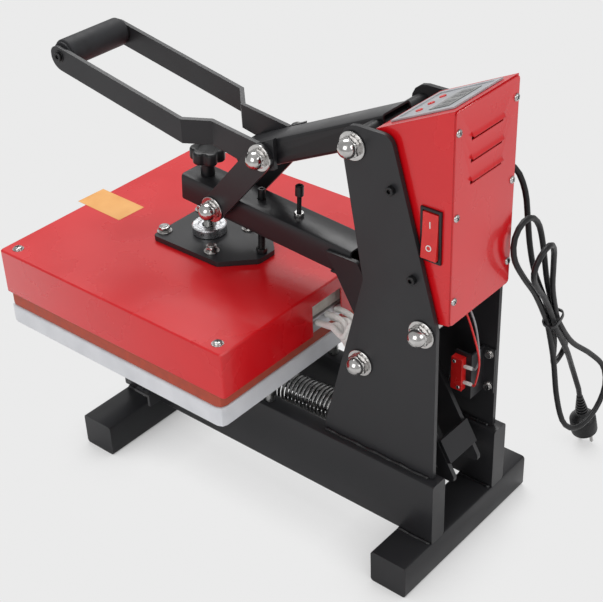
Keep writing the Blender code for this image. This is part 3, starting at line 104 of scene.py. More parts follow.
def finish(name, dark, light, rough, metallic=0.0, grain=60.0, relief=0.08, relief_scale=900.0,
           edge=0.0007, coat=0.0, stretch=(1, 1, 1), edge_highlight=None, specular=0.5):
    """A surface whose colour, roughness and relief vary with noise, with softened edges and perhaps a
    painted highlight on its convex edges.
    """
    made, tree, shader = new_nodes(name)
    make, link = tree.nodes.new, tree.links.new
    where = make("ShaderNodeTexCoord")
    mapping = make("ShaderNodeMapping")
    mapping.inputs["Scale"].default_value = stretch
    link(where.outputs["Object"], mapping.inputs["Vector"])
    cloud = make("ShaderNodeTexNoise")
    cloud.inputs["Scale"].default_value = grain
    cloud.inputs["Detail"].default_value = 5.0
    link(mapping.outputs["Vector"], cloud.inputs["Vector"])
    ramp = make("ShaderNodeValToRGB")
    ramp.color_ramp.elements[0].position = cloud_low
    ramp.color_ramp.elements[0].color = (*dark, 1)
    ramp.color_ramp.elements[1].position = cloud_high
    ramp.color_ramp.elements[1].color = (*light, 1)
    link(cloud.outputs["Fac"], ramp.inputs["Fac"])
    colour = ramp.outputs["Color"]
    spread = make("ShaderNodeMapRange")
    spread.inputs["From Min"].default_value = cloud_low
    spread.inputs["From Max"].default_value = cloud_high
    spread.inputs["To Min"].default_value = rough[0]
    spread.inputs["To Max"].default_value = rough[1]
    link(cloud.outputs["Fac"], spread.inputs["Value"])
    link(spread.outputs["Result"], shader.inputs["Roughness"])
    fine = make("ShaderNodeTexNoise")
    fine.inputs["Scale"].default_value = relief_scale
    fine.inputs["Detail"].default_value = 2.0
    link(mapping.outputs["Vector"], fine.inputs["Vector"])
    soft = make("ShaderNodeBevel")
    soft.samples = 4
    soft.inputs["Radius"].default_value = edge
    bump = make("ShaderNodeBump")
    bump.inputs["Strength"].default_value = relief
    bump.inputs["Distance"].default_value = bump_depth
    link(fine.outputs["Fac"], bump.inputs["Height"])
    link(soft.outputs["Normal"], bump.inputs["Normal"])
    link(bump.outputs["Normal"], shader.inputs["Normal"])
    # Painted highlight: convex edges, picked by pointiness, are blended towards a lighter colour
    if edge_highlight:
        edges = make("ShaderNodeNewGeometry")
        pick = make("ShaderNodeMapRange")
        pick.inputs["From Min"].default_value = highlight_from
        pick.inputs["From Max"].default_value = highlight_to
        link(edges.outputs["Pointiness"], pick.inputs["Value"])
        blend = make("ShaderNodeMix")
        blend.data_type = "RGBA"
        link(pick.outputs["Result"], blend.inputs["Factor"])
        link(colour, blend.inputs["A"])
        blend.inputs["B"].default_value = (*edge_highlight, 1)
        colour = blend.outputs["Result"]
    link(colour, shader.inputs["Base Color"])
    shader.inputs["Metallic"].default_value = metallic
    shader.inputs["Specular IOR Level"].default_value = specular
    shader.inputs["Coat Weight"].default_value = coat
    shader.inputs["Coat Roughness"].default_value = coat_roughness
    return made


# Black paint's convex edges are lightened as a painted highlight
black_paint = finish(
    "black_paint_look", (0.0035, 0.0033, 0.0042), (0.0065, 0.0062, 0.0078), (0.30, 0.40), grain=22,
    relief=0.10, relief_scale=650, edge_highlight=(0.02, 0.02, 0.022), specular=0.34)
red_paint = finish(
    "red_paint_look", (0.62, 0.0035, 0.008), (0.68, 0.005, 0.010), (0.24, 0.32), grain=9, relief=0.03,
    relief_scale=380, coat=0.35, edge=0.0016, specular=0.4)
zinc = finish(
    "zinc_look", (0.46, 0.45, 0.44), (0.62, 0.61, 0.60), (0.12, 0.24), metallic=1.0, grain=120,
    relief=0.03, relief_scale=1500, edge=0.0003)
dull_zinc = finish(
    "dull_zinc_look", (0.30, 0.30, 0.30), (0.44, 0.44, 0.43), (0.22, 0.38), metallic=1.0, grain=160,
    relief=0.12, relief_scale=1500, edge=0.0003)
black_oxide = finish(
    "black_oxide_look", (0.006, 0.006, 0.007), (0.014, 0.014, 0.015), (0.28, 0.42), metallic=0.3,
    grain=200, relief=0.08, edge=0.0002)
turned_aluminium = finish(
    "turned_aluminium_look", (0.55, 0.55, 0.57), (0.72, 0.73, 0.75), (0.22, 0.34), metallic=1.0,
    grain=300, relief=0.1, relief_scale=2200, stretch=(1, 1, 6), edge=0.0004)
slab_paint = finish(
    "slab_paint_look", (0.62, 0.63, 0.66), (0.72, 0.73, 0.76), (0.36, 0.5), grain=30, relief=0.22,
    relief_scale=520, edge=0.0015)
pad_rubber = finish(
    "pad_rubber_look", (0.36, 0.055, 0.028), (0.46, 0.075, 0.04), (0.6, 0.78), grain=90, relief=0.35,
    relief_scale=1400, edge=0.001)
platen_metal = finish(
    "platen_metal_look", (0.5, 0.5, 0.52), (0.62, 0.62, 0.64), (0.3, 0.45), metallic=1.0, grain=80,
    relief=0.1)
board_wool = finish(
    "board_wool_look", (0.66, 0.64, 0.58), (0.8, 0.78, 0.72), (0.85, 0.95), grain=140, relief=0.6)
grip_foam = finish(
    "grip_foam_look", (0.012, 0.012, 0.014), (0.024, 0.025, 0.028), (0.55, 0.7), grain=70, relief=0.4,
    relief_scale=1500, edge=0.0008, specular=0.4)
knob_plastic = finish(
    "knob_plastic_look", (0.006, 0.006, 0.007), (0.011, 0.011, 0.013), (0.28, 0.42), grain=90,
    relief=0.14, relief_scale=1300, edge=0.0008, specular=0.4)
cord_rubber = finish(
    "cord_rubber_look", (0.004, 0.004, 0.005), (0.009, 0.009, 0.010), (0.36, 0.5), grain=90,
    relief=0.12, relief_scale=1600, edge=0.0002, specular=0.38)
white_sleeve = finish(
    "white_sleeve_look", (0.70, 0.70, 0.67), (0.86, 0.86, 0.84), (0.6, 0.8), grain=260, relief=0.9,
    relief_scale=1300, stretch=(3, 1, 3), edge=0.0002)
red_plastic = finish(
    "red_plastic_look", (0.60, 0.012, 0.012), (0.70, 0.02, 0.018), (0.2, 0.3), grain=60, relief=0.05,
    edge=0.0005)
display_face = finish(
    "display_face_look", (0.36, 0.37, 0.39), (0.44, 0.45, 0.47), (0.3, 0.42), grain=60, relief=0.1,
    edge=0.0005)
screen_glass = finish(
    "screen_glass_look", (0.012, 0.02, 0.016), (0.02, 0.03, 0.024), (0.07, 0.12), grain=20, relief=0.01,
    coat=0.8)
green_board = finish(
    "green_board_look", (0.015, 0.12, 0.04), (0.03, 0.2, 0.07), (0.35, 0.5), grain=120, relief=0.2)
weld_steel = finish(
    "weld_steel_look", (0.005, 0.005, 0.006), (0.010, 0.010, 0.012), (0.25, 0.4), grain=300, relief=0.5,
    relief_scale=900)
decal_orange = finish(
    "decal_look", (0.80, 0.36, 0.07), (0.86, 0.42, 0.10), (0.3, 0.4), grain=40, relief=0.02, coat=0.3)
white_mark = finish(
    "white_mark_look", (0.78, 0.78, 0.76), (0.84, 0.84, 0.82), (0.4, 0.5), grain=60, relief=0.02)
grey_wire = finish(
    "grey_wire_look", (0.25, 0.25, 0.26), (0.34, 0.34, 0.35), (0.4, 0.5), grain=80, relief=0.05)


def show(name, look):
    """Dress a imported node: its look, smooth shading and crisp corners."""
    piece = nodes[name]
    piece.data.materials.clear()
    piece.data.materials.append(look)
    given = piece.data.attributes.get("custom_normal")
    if given:
        piece.data.attributes.remove(given)
    for face in piece.data.polygons:
        face.use_smooth = True
    weld = piece.modifiers.new("weld", "WELD")
    weld.merge_threshold = weld_distance
    split = piece.modifiers.new("corners", "EDGE_SPLIT")
    split.split_angle = math.radians(corner_angle)


def add_piece(name, bm, look, body, stands_for=(), smooth=35):
    """A mesh piece that rides on a body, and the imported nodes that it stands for."""
    bmesh.ops.recalc_face_normals(bm, faces=bm.faces)
    mesh = bpy.data.meshes.new(name)
    bm.to_mesh(mesh)
    bm.free()
    mesh.materials.append(look)
    mesh.shade_smooth()
    mesh.set_sharp_from_angle(angle=math.radians(smooth))
    piece = bpy.data.objects.new(name, mesh)
    bpy.context.scene.collection.objects.link(piece)
    if body:
        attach(piece, body)
    if stands_for:
        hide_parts(*stands_for)
    return piece


def axis_frame(origin, direction, hint=across):
    """A matrix whose Z runs along the direction, with X as near the hint as it can."""
    z = Vector(direction).normalized()
    x = hint - hint.dot(z) * z
    if x.length < gap:
        x = Vector((0, 1, 0)) - z.y * z
    x.normalize()
    turn = Matrix((x, z.cross(x), z)).transposed().to_4x4()
    return Matrix.Translation(origin) @ turn


def arm_place(y):
    """A frame on the arm's middle line: X across, Y back along it, Z square out of its top."""
    back = Vector((0, 1, -arm_tilt)).normalized()
    turn = Matrix((across, back, across.cross(back))).transposed().to_4x4()
    return Matrix.Translation((0, y, arm_middle_z - arm_tilt * y)) @ turn


def join_rings(bm, lower, upper):
    """Faces between two rings, either of which may be a single point."""
    count = max(len(lower), len(upper))
    for k in range(count):
        after = (k + 1) % count
        if len(lower) == 1:
            bm.faces.new((lower[0], upper[after], upper[k]))
        elif len(upper) == 1:
            bm.faces.new((lower[k], lower[after], upper[0]))
        else:
            bm.faces.new((lower[k], lower[after], upper[after], upper[k]))


def add_loft(bm, rings, closed=False):
    """Rings of points joined in order, and capped unless the last meets the first."""
    made = [[bm.verts.new(point) for point in ring] for ring in rings]
    for lower, upper in zip(made, made[1:]):
        join_rings(bm, lower, upper)
    if closed:
        join_rings(bm, made[-1], made[0])
        return
    for ring in (made[0], made[-1]):
        if len(ring) > 2:
            bm.faces.new(ring)


def ring_at(place, radius, height, sides, shape=None):
    """A ring of points; shape gives the share of the radius at each turn."""
    if radius == 0:
        return [place @ Vector((0, 0, height))]
    points = []
    for k in range(sides):
        turn = full_turn * k / sides
        reach = radius * (shape(turn) if shape else 1)
        points.append(place @ Vector((reach * math.cos(turn), reach * math.sin(turn), height)))
    return points


def hexagon(turn):
    return hex_share / math.cos(turn % (half_turn / 3) - half_turn / 6)


def add_turned(bm, profile, place, sides=48, closed=False):
    """A revolved profile of (radius, height) or (radius, height, shape)."""
    add_loft(bm, [ring_at(place, p[0], p[1], sides, p[2] if len(p) > 2 else None) for p in profile], closed)


def add_box(bm, low, high, place=Matrix()):
    """A box between two corners."""
    rings = []
    for z in (low[2], high[2]):
        corners = ((low[0], low[1]), (high[0], low[1]), (high[0], high[1]), (low[0], high[1]))
        rings.append([place @ Vector((x, y, z)) for x, y in corners])
    add_loft(bm, rings)


def washer_rings(start, radius, thickness, edge=0.0005):
    return [(radius - edge, start), (radius, start + edge), (radius, start + thickness - edge),
            (radius - edge, start + thickness)]


def hex_rings(start, radius, height, chamfer=0.0009):
    """A hexagon with its corners turned off at both ends."""
    flat = radius * hex_share
    return [(flat, start), (radius, start + chamfer, hexagon), (radius, start + height - chamfer, hexagon),
            (flat, start + height)]


def cap_rings(face):
    """Washer, hexagon and dome outwards from a face."""
    seat = face + washer_thickness
    top = seat + nut_height
    rings = washer_rings(face, washer_radius, washer_thickness) + hex_rings(seat, nut_radius, nut_height)
    dome_steps = 9
    for k in range(dome_steps + 1):
        turn = half_turn / 2 * k / dome_steps
        rings.append((dome_radius * math.cos(turn), top + dome_height * math.sin(turn)))
    return rings


def flipped(rings):
    """Rings mirrored to the other side of their frame."""
    return [(r[0], -r[1]) + tuple(r[2:]) for r in rings]


def make_pivot_bolt(name, face, place, body, node):
    """A through bolt with a washer and a domed nut at each end."""
    end = cap_rings(face + gap)
    profile = flipped(reversed(end))
    profile += [(pivot_radius, -face - gap), (pivot_radius, face + gap)] + end
    bm = bmesh.new()
    add_turned(bm, profile, axis_frame(Vector((0, *place)), across, up))
    add_piece(name, bm, zinc, body, (node,))


def make_pivots():
    make_pivot_bolt("lever_pivot_look", plate_face, pivots["lever"], "base", "lever_pivot_bolt")
    make_pivot_bolt("arm_pivot_look", plate_face, pivots["arm"], "base", "arm_pivot_bolt")
    make_pivot_bolt("tie_bolt_look", plate_face, pivots["tie"], "base", "tie_bolt")
    make_pivot_bolt("link_pivot_look", link_face, pivots["link"], "lever", "lever_link_bolt")
    for side, node in ((right, "link_bolt_right"), (left, "link_bolt_left")):
        start, shoulder = arm_half + gap, link_inside - gap
        profile = [(0, start), (sleeve_radius, start), (sleeve_radius, shoulder), (pivot_radius, shoulder),
                   (pivot_radius, link_face + gap)] + cap_rings(link_face + gap)
        bm = bmesh.new()
        add_turned(bm, profile, axis_frame(Vector((0, *arm_link)), across * side, up))
        add_piece(node + "_look", bm, zinc, "link", (node,))


def add_socket_screw(bm, place, radius, height, shank, sides=24):
    """A cap head with a hexagonal socket, on its shank below the face."""
    socket = radius * 0.52
    burr, chamfer = 0.0002, 0.0006
    profile = [(shank, -radius / 2), (shank, 0), (radius - burr, 0), (radius, burr),
               (radius, height - chamfer), (radius - chamfer, height), (socket, height, hexagon),
               (socket, height * 0.4, hexagon),
               (0, height * 0.35)]
    add_turned(bm, profile, place, sides)


def add_cross_screw(bm, place, radius, height, sides=24):
    """A pan head."""
    shares = ((1, 0), (1, 0.3), (0.92, 0.65), (0.7, 0.92), (0.35, 1), (0, 1))
    profile = [(radius * out_share, height * up_share) for out_share, up_share in shares]
    add_turned(bm, profile, place, sides)


def add_painted_recess_shade(bm, place, radius, height):
    """A dark inlay on the head: painted shade where the cross recess is."""
    arm, half = radius * 0.62, radius * 0.13
    add_box(bm, (-arm, -half, height * 0.9), (arm, half, height + gap / 3), place)
    add_box(bm, (-half, -arm, height * 0.9), (half, arm, height + gap / 3), place)


def make_cross_screws(name, places, radius, height, body):
    """A set of cross-head screws, each with a dark inlay of painted shade in its cross recess."""
    heads, recess_shading = bmesh.new(), bmesh.new()
    for place in places:
        add_cross_screw(heads, place, radius, height)
        add_painted_recess_shade(recess_shading, place @ Matrix.Rotation(0.6, 4, "Z"), radius, height)
    add_piece(name, heads, zinc, body)
    # The dark inlays are painted shade in each head's cross recess
    add_piece(name + "_painted_recess_shade", recess_shading, black_oxide, body)


def make_small_screws():
    panel = [axis_frame(Vector((side * panel_screw_x, panel_back, z)), Vector((0, 1, 0)))
             for side in (right, left) for z in panel_screw_zs]
    make_cross_screws("panel_screws", panel, 0.0046, 0.0026, "base")
    spots = [(side * cover_screw_x, y) for side in (right, left) for y in cover_screw_ys]
    cover = [Matrix.Translation((x, y, cover_top + 0.0008)) for x, y in spots]
    make_cross_screws("cover_screws", cover, 0.0062, 0.0030, "head")
    washers = bmesh.new()
    for x, y in spots:
        rings = washer_rings(cover_top, 0.0078, 0.0009, 0.0002)
        add_turned(washers, rings, Matrix.Translation((x, y, 0)), 28)
    add_piece("cover_screw_washers", washers, zinc, "head")
    bm = bmesh.new()
    for y, z in box_screw_places:
        for side in (right, left):
            place = axis_frame(Vector((side * plate_face, y, z)), across * side, up)
            add_socket_screw(bm, place, 0.0055, 0.006, 0.003)
    add_piece("box_fixing_screws", bm, black_oxide, "base")
    bm = bmesh.new()
    for side in (right, left):
        place = axis_frame(Vector((side * bar_face, grip_place.y, grip_place.z)), across * side, up)
        add_turned(bm, washer_rings(0, 0.0082, 0.0010, 0.0002), place, 32)
        add_socket_screw(bm, place @ Matrix.Translation((0, 0, 0.001)), 0.0062, 0.0030, 0.003)
    add_piece("grip_screws", bm, black_oxide, "lever")


def make_grip():
    """The foam sleeve on its core, with an end flange inside each bar."""
    place = axis_frame(grip_place - across * (grip_half - gap), across, up)
    length = 2 * (grip_half - gap)
    flange, soft = 0.0032, 0.0022
    profile = [(0, 0), (grip_radius * 0.86, 0), (grip_radius * 0.86, flange)]
    for k in range(5):
        turn = half_turn / 2 * k / 4
        profile.append((grip_radius - soft + soft * math.sin(turn), flange + soft - soft * math.cos(turn)))
    far = length - flange - soft
    for k in range(5):
        turn = half_turn / 2 * k / 4
        profile.append((grip_radius - soft + soft * math.cos(turn), far + soft * math.sin(turn)))
    profile += [(grip_radius * 0.86, length - flange), (grip_radius * 0.86, length), (0, length)]
    bm = bmesh.new()
    add_turned(bm, profile, place, 56)
    add_piece("grip_look", bm, grip_foam, "lever", ("handle_grip",))


def lobes(turn):
    """Six round lobes with shallow valleys between them."""
    wave = (1 - math.cos(6 * turn)) / 2
    return 1 - 0.2 * wave * wave


def add_thread(bm, place, radius, start, end, pitch, sides=20):
    """A screw thread as one long spiral strip on a core."""
    depth = pitch * 0.55
    turns = (end - start) / pitch
    count = int(turns * sides)
    inner, outer = [], []
    for k in range(count + 1):
        turn = full_turn * k / sides
        height = start + pitch * k / sides
        for reach, shift, row in ((radius - depth, 0, inner), (radius, pitch / 2, outer)):
            spot = Vector((reach * math.cos(turn), reach * math.sin(turn), height + shift))
            row.append(bm.verts.new(place @ spot))
    for k in range(count):
        bm.faces.new((inner[k], inner[k + 1], outer[k + 1], outer[k]))
    for k in range(count - sides):
        bm.faces.new((outer[k], outer[k + 1], inner[k + sides + 1], inner[k + sides]))


def make_knob():
    """The star knob on its threaded screw."""
    place = arm_place(screw_y)
    hub_low = arm_height / 2 + gap
    top, height = arm_height / 2 + 0.0395, 0.017
    low = top - height
    radius, soft = 0.0235, 0.0035
    profile = [(0.0095, hub_low), (0.0095, low - 0.0065), (0.0125, low - 0.0045), (0.0125, low),
               (radius - soft, low, lobes)]
    for k in range(6):
        turn = half_turn / 2 * k / 5
        profile.append((radius - soft + soft * math.sin(turn), low + soft - soft * math.cos(turn), lobes))
    for k in range(6):
        turn = half_turn / 2 * k / 5
        profile.append((radius - soft + soft * math.cos(turn), top - soft + soft * math.sin(turn), lobes))
    profile += [(0.0125, top - 0.0002), (0.0112, top - 0.0012), (0, top - 0.0012)]
    bm = bmesh.new()
    add_turned(bm, profile, place, 96)
    add_piece("knob_look", bm, knob_plastic, "knob", ("pressure_knob",))
    bm = bmesh.new()
    foot = -(place.translation.z - mount_top - 0.0048)
    add_turned(bm, [(0, foot), (0.0068, foot), (0.0068, hub_low + 0.004), (0, hub_low + 0.004)], place, 24)
    add_thread(bm, place, 0.008, foot + 0.001, hub_low, 0.002)
    add_piece("knob_screw", bm, dull_zinc, "knob", smooth=20)


def make_collar():
    """The thrust collar with its grub screw."""
    y = nodes_middle("thrust_collar").y
    place = Matrix.Translation((0, y, mount_top + gap))
    radius, height, soft = 0.0235, 0.012, 0.0014
    rim, ledge, bore, dip, step = 0.0150, 0.0142, 0.0098, 0.0008, 0.0012
    profile = [(0, 0), (radius - soft / 2, 0), (radius, soft / 2), (radius, height - soft),
               (radius - soft, height), (rim, height), (ledge, height - dip), (ledge, height - step),
               (bore, height - step), (bore, height * 0.3), (0, height * 0.3)]
    bm = bmesh.new()
    add_turned(bm, profile, place, 72)
    add_piece("collar_look", bm, turned_aluminium, "head", ("thrust_collar",))
    bm = bmesh.new()
    outward = Vector((0.85, 0.3, 0)).normalized()
    hole = axis_frame(Vector((0, y, mount_top + height * 0.55)) + outward * (radius - 0.0004), outward, up)
    add_turned(bm, [(0, 0), (0.0021, 0), (0.0021, 0.0005), (0.0012, 0.0005, hexagon),
                    (0.0012, 0.0001, hexagon), (0, 0.0001)], hole, 24)
    add_piece("collar_grub_screw", bm, black_oxide, "head")


def nodes_middle(name):
    low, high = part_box(name)
    return (Vector(low) + Vector(high)) / 2


def make_mount_bolts():
    """Four hexagon bolts on washers through the head plate."""
    bm = bmesh.new()
    for side in (right, left):
        for number, y in enumerate(mount_bolt_ys):
            turned = Matrix.Rotation(0.4 * (number + side), 4, "Z")
            place = Matrix.Translation((side * mount_bolt_x, y, mount_top)) @ turned
            add_turned(bm, washer_rings(0, 0.0105, 0.0018), place, 40)
            rings = hex_rings(0.0018, 0.0082, 0.0062)
            rings += [(0.0048, 0.0082), (0.0044, 0.0095), (0, 0.0095)]
            add_turned(bm, rings, place, 48)
    add_piece("mount_bolts", bm, zinc, "head")


def make_arm_screws():
    """The guide bolt with its nut on the head plate, and the long stop screw with its lock nut."""
    place = arm_place(guide_y)
    foot = -(place.translation.z - mount_top - gap)
    top = arm_height / 2 + 0.015
    bm = bmesh.new()
    core, full, socket, nut, depth = 0.0043, 0.0050, 0.0026, 0.0068, 0.004
    profile = [(0, foot)] + hex_rings(foot, 0.0075, nut) + [(core, foot + nut), (core, arm_height / 2)]
    profile += [(full, arm_height / 2 + gap), (full, top - 0.0007), (core, top), (socket, top, hexagon),
                (socket, top - depth, hexagon), (0, top - depth)]
    add_turned(bm, profile, place, 36)
    add_thread(bm, place, 0.0049, foot + 0.007, arm_height / 2 - 0.001, 0.0015, 16)
    add_piece("guide_bolt_look", bm, black_oxide, "head", ("guide_bolt",), 25)
    place = arm_place(stop_y)
    top = arm_height / 2 + 0.044
    head = top - 0.014
    bm = bmesh.new()
    core, full, socket, depth = 0.0026, 0.0055, 0.0027, 0.005
    profile = [(0, 0), (core, 0), (core, head), (0.0053, head), (full, head + 0.0003), (full, top - 0.0007),
               (0.0048, top), (socket, top, hexagon), (socket, top - depth, hexagon), (0, top - depth)]
    add_turned(bm, profile, place, 36)
    add_thread(bm, place, 0.0030, arm_height / 2, head - 0.001, 0.001, 14)
    add_piece("stop_screw_look", bm, black_oxide, "arm", ("stop_screw",), 25)
    bm = bmesh.new()
    add_turned(bm, [(0.0031, arm_height / 2 + gap)] + hex_rings(arm_height / 2 + gap, 0.0066, 0.005, 0.0005)
               + [(0.0031, arm_height / 2 + gap + 0.005)], place, 36, closed=True)
    add_piece("stop_screw_nut", bm, zinc, "arm")


def make_posts():
    """Turned posts under the platen, with a nut below each front bracket."""
    for end in ("front", "rear"):
        for hand in ("right", "left"):
            node = "standoff_" + end + "_" + hand
            low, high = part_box(node)
            middle = nodes_middle(node)
            place = Matrix.Translation((middle.x, middle.y, low[2]))
            length, radius = high[2] - low[2], 0.0065
            profile = [(0, 0), (radius - 0.0005, 0), (radius, 0.0005), (radius, length - 0.0005),
                       (radius - 0.0005, length), (0, length)]
            bm = bmesh.new()
            add_turned(bm, profile, place, 36)
            if end == "front":
                under = place @ Matrix.Translation((0, 0, -0.0043))
                add_turned(bm, flipped(hex_rings(0, 0.0082, 0.006)), under, 36)
            add_piece(node + "_look", bm, dull_zinc, "base", (node,))


def spring_points(points_per_coil=20, hook_steps=10):
    """The lifting spring's wire, from one hook to the other."""
    coils, pitch = 37, 0.0066
    anchor, pin = 0.006, 0.005
    along = (spring_back - spring_front).normalized()
    lift = across.cross(along)
    span = (spring_back - spring_front).length
    start = (span - pitch * coils) / 2
    hook = anchor + spring_wire + 3 * gap
    points = []
    for k in range(hook_steps + 1):
        turn = half_turn * k / hook_steps
        points.append(spring_front + hook * (-math.sin(turn) * along - math.cos(turn) * lift))
    points.append(spring_front + along * (start / 2) + lift * hook / 2)
    points.append(spring_front + along * (start - pitch) + lift * spring_mean * hex_share)
    for k in range(coils * points_per_coil + 1):
        turn = full_turn * k / points_per_coil
        place = spring_front + along * (start + pitch * k / points_per_coil)
        points.append(place + spring_mean * (math.cos(turn) * lift + math.sin(turn) * across))
    hook = pin + spring_wire + 3 * gap
    points.append(spring_back - along * (start - pitch) + lift * spring_mean * hex_share)
    points.append(spring_back - along * (start / 2) + lift * hook / 2)
    for k in range(hook_steps + 1):
        turn = half_turn * k / hook_steps
        points.append(spring_back + hook * (math.sin(turn) * along + math.cos(turn) * lift))
    return points


def curve_object(name, points, radius, look, resolution=3):
    """A round tube along points, as a curve with closed ends."""
    curve = bpy.data.curves.new(name, "CURVE")
    curve.dimensions = "3D"
    curve.bevel_depth = radius
    curve.bevel_resolution = resolution
    curve.use_fill_caps = True
    spline = curve.splines.new("POLY")
    spline.points.add(len(points) - 1)
    for slot, point in zip(spline.points, points):
        slot.co = (*point, 1.0)
    spline.use_smooth = True
    curve.materials.append(look)
    piece = bpy.data.objects.new(name, curve)
    bpy.context.scene.collection.objects.link(piece)
    return piece


def as_mesh(piece, name):
    """The evaluated shape of a curve as a mesh object in its place."""
    bpy.context.view_layer.update()
    mesh = bpy.data.meshes.new_from_object(piece.evaluated_get(bpy.context.evaluated_depsgraph_get()))
    bpy.data.objects.remove(piece, do_unlink=True)
    mesh.shade_smooth()
    made = bpy.data.objects.new(name, mesh)
    bpy.context.scene.collection.objects.link(made)
    return made


def make_spring():
    wire = as_mesh(curve_object("spring_wire", spring_points(), spring_wire, dull_zinc, 3), "spring_look")
    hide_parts("lift_spring")
    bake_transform(wire)


def smooth_route(points, spacing):
    """Points every spacing along a Catmull-Rom curve through the route's own points."""
    fine = []
    last = len(points) - 1
    for number in range(last):
        p0, p1 = points[max(number - 1, 0)], points[number]
        p2, p3 = points[number + 1], points[min(number + 2, last)]
        for k in range(12):
            t = k / 12
            first = 2 * p1 + (p2 - p0) * t
            second = (2 * p0 - 5 * p1 + 4 * p2 - p3) * t * t
            third = (3 * p1 - 3 * p2 + p3 - p0) * t * t * t
            fine.append((first + second + third) / 2)
    fine.append(points[-1])
    total = sum((b - a).length for a, b in zip(fine, fine[1:]))
    count = max(2, round(total / spacing))
    step = total / count
    kept = [fine[0]]
    walked = 0.0
    for a, b in zip(fine, fine[1:]):
        reach = (b - a).length
        while len(kept) < count and walked + reach >= step * len(kept):
            kept.append(a + (b - a) * ((step * len(kept) - walked) / reach))
        walked += reach
    kept.append(fine[-1])
    return kept


# The lead's route, as in the part's source
tie_place = Vector((-0.150, 0.3305, 0.272))
tie_width, tie_thickness = 0.006, 0.0016
hank_lean = 0.47
strand = 2 * cord_radius + 4 * gap
tie_out_share, tie_across_share, tie_square_share = 1.05, 1.55, 0.6
route_spacing = 0.0115
tie_place_shares = ((0.0, 0.0), (-1.0, 0.0), (1.0, 0.0), (-0.5, 0.9), (0.5, 0.9))
hank_loops = (
    (0, 1, 0.128, (0.014, -0.011, -0.019)),
    (1, 2, -0.190, (-0.023, 0.003, -0.001)),
    (2, 3, 0.200, (0.046, 0.004, 0.030)),
    (3, 4, -0.155, (-0.021, 0.007, 0.016)))
loop_steps = 10
loop_bulge_share = 2.6
hank_lead = 0.018
tail_places = ((-0.1860, 0.3380, 0.2050), (-0.2230, 0.3300, 0.1500))
plug_top, plug_toe = Vector((-0.2460, 0.3330, 0.0910)), Vector((-0.2700, 0.3370, 0.0012))
plug_lead = 0.014
gland_y, gland_z = 0.282, 0.500
boot_length = 0.026
free_route = (
    (-0.1000, 0.2835, 0.4960), (-0.1130, 0.2930, 0.4820), (-0.1170, 0.3030, 0.4550),
    (-0.1180, 0.3080, 0.4200),
    (-0.1240, 0.3100, 0.3800), (-0.1330, 0.3140, 0.3400))
hank_axis = Vector((-hank_lean, 0, -1)).normalized()


def bundle_point(down, along, out):
    side = hank_axis.cross(Vector((0, 1, 0)))
    return tie_place + hank_axis * down + side * along + Vector((0, out, 0))


def loop_points(first, second, length, bulge, sway, stand):
    """A drooping loop that leaves the tie on one strand and comes back on another."""
    start, end = Vector(tie_place_shares[first]) * strand, Vector(tie_place_shares[second]) * strand
    near = 2 * tie_width
    points = []
    for k in range(loop_steps + 1):
        share = k / loop_steps
        swell = math.sin(half_turn * share)
        down = near + (abs(length) - near) * swell
        place = start.lerp(end, share * share * (3 - 2 * share))
        along = place.x + swell * swell * (bulge * loop_bulge_share * math.cos(half_turn * share) + sway)
        points.append(bundle_point(math.copysign(down, length), along, place.y + stand * swell * swell))
    return points


def cord_points():
    """The whole lead, from the gland's boot through the hank to the plug."""
    start = Vector((-box_half - gap - boot_length - gap, gland_y, gland_z))
    straight = start - Vector((2 * cord_radius, 0, 0))
    route = [straight] + [Vector(place) for place in free_route] + [bundle_point(-2 * hank_lead, 0, 0)]
    points = [start] + smooth_route(route, route_spacing)
    axis = (plug_toe - plug_top).normalized()
    route = [bundle_point(-hank_lead, 0, 0), bundle_point(-tie_width / 2, 0, 0)]
    for first, second, length, shape in hank_loops:
        route += loop_points(first, second, length, *shape)
    last = tie_place_shares[-1]
    route += [bundle_point(down, last[0] * strand, last[1] * strand) for down in (0, 2 * tie_width)]
    route += [Vector(place) for place in tail_places] + [plug_top - axis * plug_lead]
    return points + smooth_route(route[1:], route_spacing) + [plug_top - axis * gap]


def make_gland():
    """The ribbed strain relief in the box's left wall."""
    place = axis_frame(Vector((-box_half - gap, gland_y, gland_z)), -across, up)
    tip, wide = cord_radius + 2 * gap, 0.0068
    profile = [(0, 0), (0.0100, 0), (0.0100, 0.0032), (0.0092, 0.004), (wide, 0.0042)]
    ribs = 6
    for k in range(ribs):
        share = k / ribs
        low = 0.0046 + (boot_length - 0.006) * share
        radius = wide + (tip - wide) * share
        valley = radius - 0.0009
        profile += [(radius, low), (radius, low + 0.0018), (valley, low + 0.0022), (valley, low + 0.0032)]
    profile += [(tip, boot_length - 0.001), (tip - 0.0004, boot_length), (0, boot_length)]
    bm = bmesh.new()
    add_turned(bm, profile, place, 32)
    add_piece("gland_look", bm, cord_rubber, "base", ("cord_gland",))


